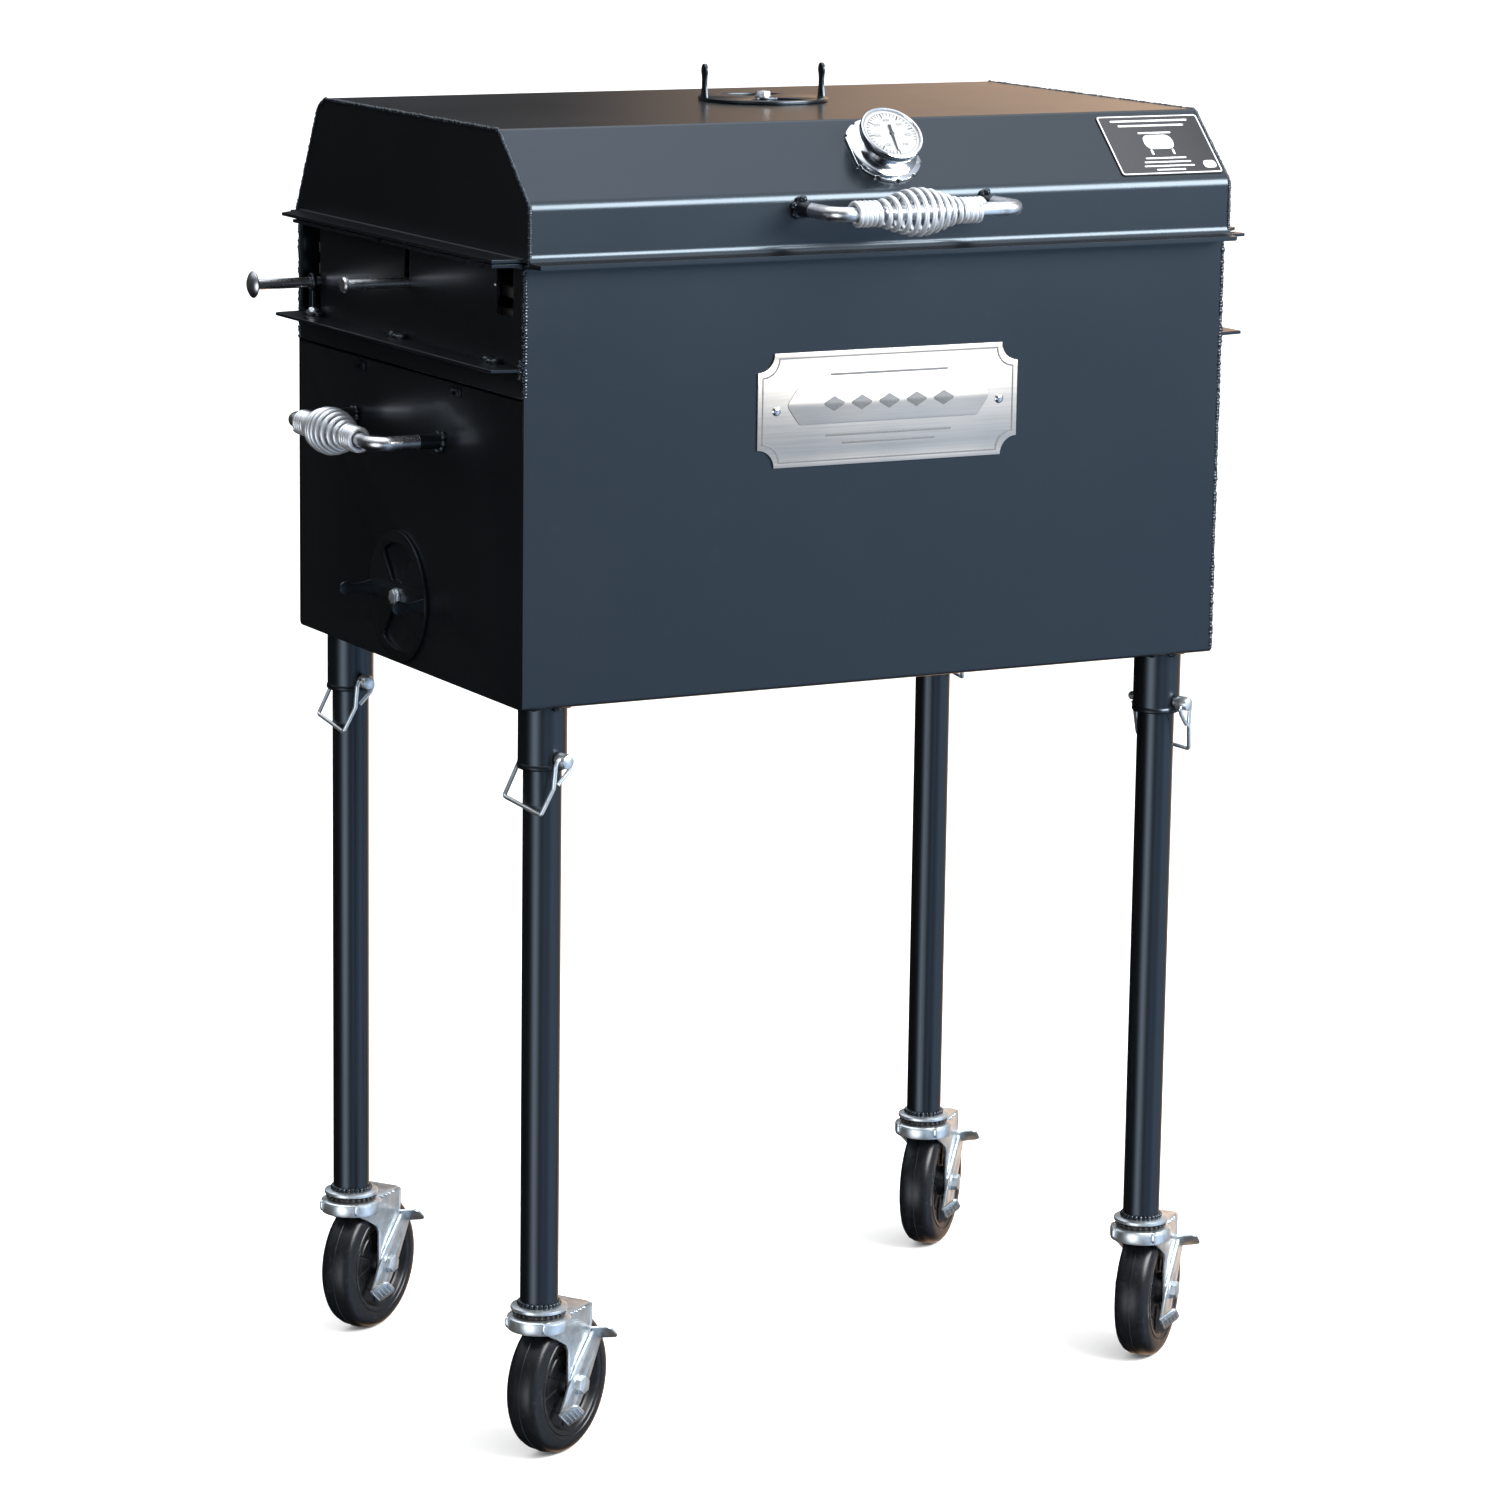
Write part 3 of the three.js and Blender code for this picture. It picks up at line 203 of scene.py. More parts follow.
def bright_steel():
    made = Finish("bright_steel", Metallic=1.0)
    cloud = made.noise(made.place, 26.0, 4.0, 0.6)
    scratch = made.noise(made.place, 1500.0, 2.0)
    stain = made.noise(made.place, 90.0, 5.0, 0.7)
    made.set(Base_Color=made.mix(made.ramp(stain, [(0.45, (0, 0, 0)), (0.75, (1, 1, 1))]),
                                 (0.72, 0.73, 0.75, 1), (0.42, 0.4, 0.38, 1)))
    made.set(Roughness=0.2 + cloud * 0.16)
    made.bump(scratch, 0.1, 0.0001)
    return made.material


def zinc_plate():
    made = Finish("zinc_plate", Metallic=0.95)
    cloud = made.noise(made.place, 110.0, 4.0, 0.65)
    fine = made.noise(made.place, 1300.0, 3.0)
    tint = made.ramp(cloud, [(0.3, (0.5, 0.56, 0.59)), (0.55, (0.66, 0.7, 0.72)),
                             (0.75, (0.78, 0.8, 0.81))])
    made.set(Base_Color=tint)
    made.set(Roughness=0.24 + cloud * 0.18)
    made.bump(fine * 0.6 + cloud * 0.4, 0.16, 0.00015)
    return made.material


def raw_steel():
    made = Finish("raw_steel", Metallic=0.8)
    scale = made.noise(made.place, 70.0, 6.0, 0.7)
    made.set(Base_Color=made.ramp(scale, [(0.35, (0.3, 0.3, 0.3)), (0.6, (0.42, 0.41, 0.4)),
                                          (0.8, (0.5, 0.47, 0.44))]))
    made.set(Roughness=0.3 + scale * 0.2)
    made.bump(scale, 0.12, 0.0002)
    return made.material


def hard_rubber():
    made = Finish("hard_rubber", Specular_IOR_Level=0.3)
    cloud = made.noise(made.place, 45.0, 5.0, 0.6)
    scuff = made.noise(made.place, 220.0, 6.0, 0.75)
    worn = made.ramp(scuff, [(0.55, (0, 0, 0)), (0.72, (1, 1, 1))])
    clean = made.mix(cloud, (0.002, 0.0023, 0.003, 1), (0.005, 0.0055, 0.007, 1))
    made.set(Base_Color=made.mix(worn, clean, (0.016, 0.017, 0.02, 1)))
    made.set(Roughness=0.24 + cloud * 0.16)
    made.bump(scuff, 0.12, 0.0003)
    return made.material


def brushed_plate():
    made = Finish("brushed_plate", Metallic=1.0)
    streak = made.noise(made.stretch(made.place, (14.0, 900.0, 900.0)), 1.0, 4.0, 0.6)
    cloud = made.noise(made.place, 18.0, 3.0)
    made.set(Base_Color=made.mix(streak, (0.34, 0.32, 0.295, 1), (0.48, 0.45, 0.415, 1)))
    made.set(Roughness=0.34 + cloud * 0.12 + streak * 0.06)
    made.bump(streak, 0.2, 0.0001)
    return made.material


def clear_glass():
    made = Finish("dial_glass", Transmission_Weight=1.0, IOR=1.45)
    smear = made.noise(made.place, 90.0, 4.0)
    made.set(Base_Color=made.mix(smear, (0.97, 0.98, 0.98, 1), (1.0, 1.0, 1.0, 1)))
    made.set(Roughness=0.01 + smear * 0.03)
    made.set(Alpha=0.22 + smear * 0.06)
    return made.material


PAINT = black_paint()
PAN_PAINT = mottled("heat_paint", 12.0, (0.012, 0.012, 0.012), (0.028, 0.025, 0.023), 0.6, 0.2, 5.0,
                    (700.0, 3.0, 0.3, 0.0002), Specular_IOR_Level=0.4)
BRIGHT = bright_steel()
SPRING = mottled("spring_wire", 130.0, (0.62, 0.65, 0.68), (0.78, 0.8, 0.82), 0.3, 0.16,
                 relief=(2200.0, 2.0, 0.12, 0.00008), Metallic=0.9)
ZINC = zinc_plate()
GRATE = mottled("grate_steel", 60.0, (0.4, 0.4, 0.4), (0.58, 0.57, 0.55), 0.3, 0.2, 4.0,
                (900.0, 3.0, 0.15, 0.0001), Metallic=1.0)
RAW = raw_steel()
RUBBER = hard_rubber()
PLATE = brushed_plate()
ENGRAVED = mottled("engraved_line", 500.0, (0.05, 0.055, 0.06), (0.11, 0.115, 0.12), 0.5, 0.2, Metallic=0.3)
POLISHED = mottled("polished_steel", 70.0, (0.5, 0.52, 0.54), (0.64, 0.66, 0.68), 0.07, 0.08,
                   relief=(240.0, 3.0, 0.05, 0.0002), Metallic=1.0)
DIAL = mottled("dial_white", 800.0, (0.27, 0.28, 0.29), (0.34, 0.35, 0.355), 0.4, 0.1)
INK = mottled("black_ink", 700.0, (0.008, 0.008, 0.009), (0.02, 0.02, 0.022), 0.35, 0.15)
LABEL_BLACK = mottled("label_black", 700.0, (0.006, 0.006, 0.007), (0.014, 0.014, 0.016), 0.35, 0.15)
LABEL_WHITE = mottled("label_white", 700.0, (0.4, 0.42, 0.44), (0.52, 0.53, 0.55), 0.35, 0.15)
GLASS = clear_glass()
# Painted shade with some grease: a near-black, slightly brown finish for the dark inside of the casters'
# swivel bearings.
GAP_SHADE_AND_GREASE = mottled("bearing_gap", 600.0, (0.004, 0.004, 0.005), (0.02, 0.018, 0.016), 0.3, 0.3, 4.0)


# ---- Shapes ----------------------------------------------------------------------------


class Shape:
    """A mesh being put together from parts, each with its own finish."""

    def __init__(self):
        self.mesh = bmesh.new()
        self.finishes = []

    def as_mesh(self, name):
        """The plain mesh, which ends this shape."""
        mesh = bpy.data.meshes.new(name)
        self.mesh.to_mesh(mesh)
        self.mesh.free()
        return mesh

    def slot(self, finish):
        if finish not in self.finishes:
            self.finishes.append(finish)
        return self.finishes.index(finish)

    def put(self, points, faces, finish, turn=None):
        index = self.slot(finish)
        turn = turn or Matrix()
        made = [self.mesh.verts.new(turn @ Vector(point)) for point in points]
        for face in faces:
            face_made = self.mesh.faces.new([made[i] for i in face])
            face_made.material_index = index
        return made

    def take(self, mesh, finish, turn=None):
        """Adds a finished mesh, and removes it."""
        points = [v.co.copy() for v in mesh.vertices]
        self.put(points, [tuple(p.vertices) for p in mesh.polygons], finish, turn)
        bpy.data.meshes.remove(mesh)

    # A profile of (radius, height) points turned about Z. A closed profile makes a ring.
    def turned(self, profile, finish, turn=None, sides=48, closed=False):
        points, rings = [], []
        for radius, height in profile:
            if radius < 1e-6:
                rings.append([len(points)])
                points.append((0, 0, height))
                continue
            rings.append(list(range(len(points), len(points) + sides)))
            for i in range(sides):
                angle = 2 * math.pi * i / sides
                points.append((radius * math.cos(angle), radius * math.sin(angle), height))
        faces = []
        pairs = list(zip(rings, rings[1:]))
        if closed:
            pairs.append((rings[-1], rings[0]))
        for low, high in pairs:
            for i in range(sides):
                j = (i + 1) % sides
                corners = [low[i % len(low)], low[j % len(low)], high[j % len(high)], high[i % len(high)]]
                unique = list(dict.fromkeys(corners))
                if len(unique) > 2:
                    faces.append(unique)
        return self.put(points, faces, finish, turn)

    # A round bar along a list of points, with flat or domed ends.
    def swept(self, path, radius, finish, turn=None, sides=20, dome=False):
        path = [Vector(p) for p in path]
        along = [(path[min(i + 1, len(path) - 1)] - path[max(i - 1, 0)]).normalized()
                 for i in range(len(path))]
        side = along[0].orthogonal().normalized()
        points, rings = [], []
        for spot, way in zip(path, along):
            side = (side - way * side.dot(way)).normalized()
            other = way.cross(side)
            rings.append(list(range(len(points), len(points) + sides)))
            for i in range(sides):
                angle = 2 * math.pi * i / sides
                points.append(spot + (side * math.cos(angle) + other * math.sin(angle)) * radius)
        faces = [[low[i], low[(i + 1) % sides], high[(i + 1) % sides], high[i]]
                 for low, high in zip(rings, rings[1:]) for i in range(sides)]
        for ring, spot, way, inward in ((rings[0], path[0], -along[0], True),
                                        (rings[-1], path[-1], along[-1], False)):
            order = ring[::-1] if inward else ring
            bulge = radius * (0.35 if dome else 0.0)
            points.append(spot + way * bulge)
            tip = len(points) - 1
            faces += [[order[i], order[(i + 1) % sides], tip] for i in range(sides)]
        return self.put(points, faces, finish, turn)

    # An outline in (x, y), with holes, pushed from low to high along Z, with eased edges.
    def plate(self, outlines, low, high, finish, turn=None, edge=0.4):
        curve = bpy.data.curves.new("outline", "CURVE")
        curve.dimensions = "2D"
        curve.fill_mode = "BOTH"
        curve.extrude = (high - low) / 2 - edge
        curve.bevel_depth = edge
        curve.bevel_resolution = 1
        curve.offset = -edge
        for outline in outlines:
            spline = curve.splines.new("POLY")
            spline.points.add(len(outline) - 1)
            spline.use_cyclic_u = True
            for point, (u, v) in zip(spline.points, outline):
                point.co = (u, v, 0, 1)
        holder = bpy.data.objects.new("outline", curve)
        flat = bpy.data.meshes.new_from_object(holder)
        bpy.data.objects.remove(holder)
        bpy.data.curves.remove(curve)
        lift = Matrix.Translation((0, 0, (low + high) / 2))
        self.take(flat, finish, (turn or Matrix()) @ lift)

    def box(self, xs, ys, zs, finish, turn=None):
        points = [(x, y, z) for x in xs for y in ys for z in zs]
        faces = [[0, 1, 3, 2], [4, 6, 7, 5], [0, 4, 5, 1], [2, 3, 7, 6], [0, 2, 6, 4], [1, 5, 7, 3]]
        return self.put(points, faces, finish, turn)

    # A lump of weld metal: a low uneven mound.
    def lump(self, spot, radius, height, finish, seed, turn=None, facing=(0, 0, 1)):
        ball = bmesh.new()
        bmesh.ops.create_icosphere(ball, subdivisions=3, radius=1.0)
        stand = Vector(facing).to_track_quat("Z", "Y").to_matrix().to_4x4()
        for vert in ball.verts:
            wobble = 1 + 0.16 * noise.noise(vert.co * 1.6 + Vector((seed * 3.7, seed, -seed)))
            vert.co = Vector((vert.co.x * radius, vert.co.y * radius, vert.co.z * height)) * wobble
        mesh = bpy.data.meshes.new("lump")
        ball.to_mesh(mesh)
        ball.free()
        self.take(mesh, finish, (turn or Matrix()) @ Matrix.Translation(spot) @ stand)


def finished(name, shape, body, replaces=(), edge=0.0, smooth=32.0, merge=True):
    """Turns a Shape into a piece of the object, in place in the frame."""
    if merge:
        bmesh.ops.remove_doubles(shape.mesh, verts=shape.mesh.verts, dist=0.004)
    bmesh.ops.recalc_face_normals(shape.mesh, faces=shape.mesh.faces)
    finished_mesh(name, shape.as_mesh(name), shape.finishes, body, replaces, edge, smooth)


def applied(made, name):
    """Leaves the object with the plain mesh that its modifiers make."""
    before = made.data
    made.data = bpy.data.meshes.new_from_object(made.evaluated_get(bpy.context.evaluated_depsgraph_get()))
    made.modifiers.clear()
    bpy.data.meshes.remove(before)
    made.data.name = name


def finished_mesh(name, mesh, finishes, body, replaces=(), edge=0.0, smooth=32.0):
    for finish in finishes:
        mesh.materials.append(finish)
    made = bpy.data.objects.new(name, mesh)
    bpy.context.scene.collection.objects.link(made)
    mesh.transform(Matrix.Translation(ORIGIN) @ Matrix.Scale(MM, 4))
    if edge:
        bevel = made.modifiers.new("eased_edges", "BEVEL")
        bevel.width = edge * MM
        bevel.segments = 2
        bevel.limit_method = "ANGLE"
        bevel.angle_limit = math.radians(40)
        applied(made, name)
    for face in made.data.polygons:
        face.use_smooth = True
    made.data.set_sharp_from_angle(angle=math.radians(smooth))
    if edge:
        made.modifiers.new("flat_faces", "WEIGHTED_NORMAL").keep_sharp = True
        applied(made, name)
    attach(made, body)
    if replaces:
        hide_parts(*replaces)


def arc(middle, radius, start, end, steps):
    angles = [math.radians(start + (end - start) * i / steps) for i in range(steps + 1)]
    return [(middle[0] + radius * math.cos(a), middle[1] + radius * math.sin(a)) for a in angles]


def rounded(points, radius, steps=5, closed=True):
    """The outline with each corner rounded. radius is a number, or one for each corner."""
    count = len(points)
    made = []
    for i, point in enumerate(points):
        size = radius[i] if isinstance(radius, (list, tuple)) else radius
        if size <= 0 or (not closed and i in (0, count - 1)):
            made.append(tuple(point))
            continue
        here = Vector(point)
        back = (Vector(points[i - 1]) - here).normalized()
        ahead = (Vector(points[(i + 1) % count]) - here).normalized()
        half = back.angle(ahead) / 2
        reach = size / math.tan(half)
        middle = here + (back + ahead).normalized() * size / math.sin(half)
        first = here + back * reach - middle
        turn = first.angle_signed(here + ahead * reach - middle)
        for step in range(steps + 1):
            spot = middle + Matrix.Rotation(-turn * step / steps, 2) @ first
            made.append((spot.x, spot.y))
    return made


def circle(radius, steps, x=0.0, y=0.0):
    return arc((x, y), radius, 0, 360, steps)[:-1]


def rectangle(x0, x1, y0, y1, radius, steps=5):
    return rounded([(x0, y0), (x1, y0), (x1, y1), (x0, y1)], radius, steps)


def folded(points, bend, steps=6, thickness=SHEET):
    """The section of a sheet folded along points, which are its outer face. bend is the
    outer radius at each corner, positive where the sheet's inside is inside the bend."""
    outer = rounded(points, [abs(b) for b in bend], steps, closed=False)
    inner = []
    for i, spot in enumerate(outer):
        before = Vector(outer[max(i - 1, 0)])
        after = Vector(outer[min(i + 1, len(outer) - 1)])
        here = Vector(spot)
        into = (here - before).normalized() if i else (after - here).normalized()
        away = (after - here).normalized() if i < len(outer) - 1 else into
        way = (into + away).normalized()
        reach = thickness / max(0.4, math.sqrt((1 + into.dot(away)) / 2))
        inner.append((spot[0] + way.y * reach, spot[1] - way.x * reach))
    return outer + inner[::-1]


# Turns a shape that stands on z = 0 to stand out of the left end, with its X along +Y.
FACE_LEFT = Matrix(((0, 0, -1, 0), (1, 0, 0, 0), (0, -1, 0, 0), (0, 0, 0, 1)))
# The same for the front, with its X along +X.
FACE_FRONT = Matrix(((1, 0, 0, 0), (0, 0, -1, 0), (0, 1, 0, 0), (0, 0, 0, 1)))
# A flat outline in (x, z), pushed along +Y.
SIDE_PLANE = Matrix(((1, 0, 0, 0), (0, 0, 1, 0), (0, 1, 0, 0), (0, 0, 0, 1)))
# A flat outline in (y, z) of an end, pushed along +X.
END_PLANE = Matrix(((0, 0, 1, 0), (1, 0, 0, 0), (0, 1, 0, 0), (0, 0, 0, 1)))


def at(x, y, z):
    return Matrix.Translation((x, y, z))


def spun(degrees, axis="Z"):
    return Matrix.Rotation(math.radians(degrees), 4, axis)


def bent(corners, radius, steps=8):
    """Points along straight runs joined by round bends."""
    corners = [Vector(c) for c in corners]
    made = [corners[0]]
    for before, here, after in zip(corners, corners[1:], corners[2:]):
        back = (before - here).normalized()
        ahead = (after - here).normalized()
        half = back.angle(ahead) / 2
        middle = here + (back + ahead).normalized() * radius / math.sin(half)
        first = here + back * radius / math.tan(half) - middle
        last = here + ahead * radius / math.tan(half) - middle
        whole = first.rotation_difference(last)
        for step in range(steps + 1):
            part = first.copy()
            part.rotate(whole.__class__().slerp(whole, step / steps))
            made.append(middle + part)
    return made + [corners[-1]]


def carved(shape, *cutters):
    """The shape with the cutters' room taken out of it."""
    def as_object(source):
        bmesh.ops.remove_doubles(source.mesh, verts=source.mesh.verts, dist=0.004)
        bmesh.ops.recalc_face_normals(source.mesh, faces=source.mesh.faces)
        made = bpy.data.objects.new("solid", source.as_mesh("solid"))
        bpy.context.scene.collection.objects.link(made)
        return made

    whole = as_object(shape)
    tools = [as_object(cutter) for cutter in cutters]
    for tool in tools:
        cut = whole.modifiers.new("cut", "BOOLEAN")
        cut.operation = "DIFFERENCE"
        cut.solver = "EXACT"
        cut.object = tool
    left = bpy.data.meshes.new_from_object(whole.evaluated_get(bpy.context.evaluated_depsgraph_get()))
    made = Shape()
    made.finishes = list(shape.finishes)
    made.mesh.from_mesh(left)
    for face in made.mesh.faces:
        face.material_index = min(face.material_index, len(made.finishes) - 1)
    for thing in [whole, *tools]:
        spent = thing.data
        bpy.data.objects.remove(thing)
        bpy.data.meshes.remove(spent)
    bpy.data.meshes.remove(left)
    return made


# ---- Repeated and path-following shapes ------------------------------------------------


def new_tree(name, **inputs):
    tree = bpy.data.node_groups.new(name, "GeometryNodeTree")
    for label, kind in inputs.items():
        tree.interface.new_socket(label.replace("_", " "), in_out="INPUT", socket_type="NodeSocket" + kind)
    tree.interface.new_socket("Geometry", in_out="OUTPUT", socket_type="NodeSocketGeometry")
    graph = Graph(tree)
    start = graph.add("NodeGroupInput")
    values = {item.name: Value(graph, item) for item in start.outputs if item.name}
    return graph, values


def end_tree(graph, geometry, material_input):
    real = graph.node("GeometryNodeRealizeInstances", None, geometry)
    painted = graph.node("GeometryNodeSetMaterial", None, real, Material=material_input)
    graph.add("NodeGroupOutput", None, painted)
    return graph.tree


def coil_tree():
    """A barrel spring along Z: close turns at both ends and an open belly."""
    graph, given = new_tree("barrel_spring", Turns="Float", Close_Turns="Float",
                            Length="Float", End_Radius="Float",
                            Belly_Radius="Float", Wire="Float",
                            Points="Int", Finish="Material")
    line = graph.node("GeometryNodeCurvePrimitiveLine", None)
    line = graph.node("GeometryNodeResampleCurve", {"mode": "COUNT"}, Curve=line, Count=given["Points"])
    index = graph.node("GeometryNodeInputIndex")
    turn = index / (given["Points"] - 1) * given["Turns"]
    open_turns = given["Turns"] - given["Close Turns"] * 2
    opened = (turn - given["Close Turns"]).most(0).least(open_turns)
    close_pitch = given["Wire"] * 1.02
    open_pitch = (given["Length"] - given["Wire"] - close_pitch * given["Close Turns"] * 2) / open_turns
    height = close_pitch * turn + (open_pitch - close_pitch) * opened
    height = height - (given["Length"] - given["Wire"]) / 2
    swell = (opened / open_turns * math.pi).sine()
    middle = given["End Radius"] - given["Wire"] / 2
    radius = middle + (given["Belly Radius"] - given["End Radius"]) * (swell ** 1.5)
    angle = turn * (2 * math.pi)
    across = radius * angle.maths("COSINE", angle)
    over = radius * angle.sine()
    place = graph.node("ShaderNodeCombineXYZ", None, across, over, height)
    coil = graph.node("GeometryNodeSetPosition", None, Geometry=line, Position=place)
    ring = graph.node("GeometryNodeCurvePrimitiveCircle", None, Resolution=10, Radius=given["Wire"] / 2)
    tube = graph.add("GeometryNodeCurveToMesh", None, Curve=coil)
    graph.feed(tube.inputs["Profile Curve"], ring)
    graph.feed(tube.inputs["Fill Caps"], True)
    return end_tree(graph, Value(graph, tube.outputs[0]), given["Finish"])


def bead_tree():
    """A weld bead: uneven overlapping mounds along a straight run."""
    graph, given = new_tree("weld_bead", Start="Vector", End="Vector",
                            Count="Int", Radius="Float", Seed="Int",
                            Finish="Material")
    line = graph.node("GeometryNodeCurvePrimitiveLine", None, Start=given["Start"], End=given["End"])
    dots = graph.node("GeometryNodeCurveToPoints", {"mode": "COUNT"}, Curve=line, Count=given["Count"])
    mound = graph.node("GeometryNodeMeshIcoSphere", None, Radius=given["Radius"], Subdivisions=2)
    wander = graph.add("FunctionNodeRandomValue", {"data_type": "FLOAT_VECTOR"}, Seed=given["Seed"])
    graph.feed(wander.inputs[0], (0.7, 0.7, 0.7))
    graph.feed(wander.inputs[1], (1.2, 1.15, 1.2))
    placed = graph.node("GeometryNodeInstanceOnPoints", None, Points=dots, Instance=mound,
                        Scale=Value(graph, wander.outputs[0]))
    return end_tree(graph, placed, given["Finish"])


def ring_tree():
    """Bearing balls standing in a circle about Z."""
    graph, given = new_tree("ball_ring", Count="Int", Radius="Float",
                            Ball="Float", Finish="Material")
    circle = graph.node("GeometryNodeMeshCircle", None, Vertices=given["Count"], Radius=given["Radius"])
    ball = graph.node("GeometryNodeMeshUVSphere", None, Segments=12, Rings=8, Radius=given["Ball"])
    placed = graph.node("GeometryNodeInstanceOnPoints", None, Points=circle, Instance=ball)
    return end_tree(graph, placed, given["Finish"])


def rod_tree():
    """Round rods along X, evenly spaced along Y."""
    graph, given = new_tree("rod_row", Count="Int", Pitch="Float",
                            Length="Float", Radius="Float",
                            Finish="Material")
    step = graph.node("ShaderNodeCombineXYZ", None, 0.0, given["Pitch"], 0.0)
    first = given["Pitch"] * (given["Count"] - 1) * -0.5
    start = graph.node("ShaderNodeCombineXYZ", None, 0.0, first, 0.0)
    row = graph.add("GeometryNodeMeshLine", {"mode": "OFFSET"}, Count=given["Count"])
    graph.feed(row.inputs["Start Location"], start)
    graph.feed(row.inputs["Offset"], step)
    rod = graph.add("GeometryNodeMeshCylinder", None, Vertices=14, Radius=given["Radius"],
                    Depth=given["Length"])
    placed = graph.node("GeometryNodeInstanceOnPoints", None, Points=Value(graph, row.outputs[0]),
                        Instance=Value(graph, rod.outputs[0]), Rotation=(0, math.pi / 2, 0))
    return end_tree(graph, placed, given["Finish"])


def grown(tree, **inputs):
    """The plain mesh that a tree makes from these inputs."""
    holder = bpy.data.objects.new("grown", bpy.data.meshes.new("grown"))
    bpy.context.scene.collection.objects.link(holder)
    growth = holder.modifiers.new("growth", "NODES")
    growth.node_group = tree
    for item in tree.interface.items_tree:
        label = item.name.replace(" ", "_")
        if item.in_out == "INPUT" and label in inputs:
            growth[item.identifier] = inputs[label]
    mesh = bpy.data.meshes.new_from_object(holder.evaluated_get(bpy.context.evaluated_depsgraph_get()))
    spent = holder.data
    bpy.data.objects.remove(holder)
    bpy.data.meshes.remove(spent)
    return mesh


COIL = coil_tree()
BEAD = bead_tree()
BALLS = ring_tree()
RODS = rod_tree()


def bead(shape, start, end, radius, seed, finish=PAINT):
    run = (Vector(end) - Vector(start)).length
    shape.take(grown(BEAD, Start=start, End=end, Count=max(2, round(run / radius / 0.9)),
                     Radius=radius, Seed=seed, Finish=finish), finish)


# ---- Body ------------------------------------------------------------------------------

LID_BOTTOM = RIM_TOP + 0.8
LID_HALF_DEPTH = HALF_DEPTH + 7.6
LID_TOP = LID_BOTTOM + 106.0
CREASE = LID_BOTTOM + 48.0
BEVEL_DEPTH = 59.4
BEVEL_ANGLE = math.atan2(LID_TOP - CREASE, BEVEL_DEPTH)
SHELF_TOP = RIM_TOP - 87.0
SEAM = 258.0
AXLE_HEIGHT = 336.0


def extruded_sheet(shape, section, start, end, finish, turn=None):
    """A folded section pushed along X. start and end are numbers, or give X from (y, z)."""
    half = len(section) // 2
    begin = start if callable(start) else lambda y, z: start
    finish_at = end if callable(end) else lambda y, z: end
    low = [(begin(y, z), y, z) for y, z in section]
    high = [(finish_at(y, z), y, z) for y, z in section]
    count = len(section)
    faces = [[i, (i + 1) % count, count + (i + 1) % count, count + i] for i in range(count)]
    for base in (0, count):
        for i in range(half - 1):
            faces.append([base + i, base + i + 1, base + count - 2 - i, base + count - 1 - i])
    return shape.put(low + high, faces, finish, turn)


def body_shell():
    top = RIM_TOP - SHEET
    rim = HALF_DEPTH + FRONT_RIM
    outer = [(-rim, top), (-HALF_DEPTH, top), (-HALF_DEPTH, 0), (HALF_DEPTH, 0), (HALF_DEPTH, top),
             (rim, top)]
    section = folded(outer, [0, 3.5, 4.5, 4.5, 3.5, 0], thickness=-SHEET)
    shape = Shape()

    def rim_cut(side):
        return lambda y, z: side * (HALF_LENGTH - max(0.0, abs(y) - HALF_DEPTH - 6) * 0.2)

    extruded_sheet(shape, section, rim_cut(-1), rim_cut(1), PAINT)
    mouth = Shape()
    mouth.box((-HALF_LENGTH - 2, -HALF_LENGTH + SHEET + 0.3), (-HALF_DEPTH + SHEET, HALF_DEPTH - SHEET),
              (-3, SHEET + 2), PAINT)
    shape = carved(shape, mouth)
    for side in (-1, 1):
        x = side * (HALF_LENGTH - 1.4)
        bottom = SEAM + 6 if side < 0 else 4
        for way in (-1, 1):
            y = way * (HALF_DEPTH - 1.9)
            bead(shape, (x, y, bottom), (x, y, RIM_TOP - 8), 3.0, 3 + way)
    finished("body_sheet", shape, "cooker_body", ["body_shell"], edge=0.6)


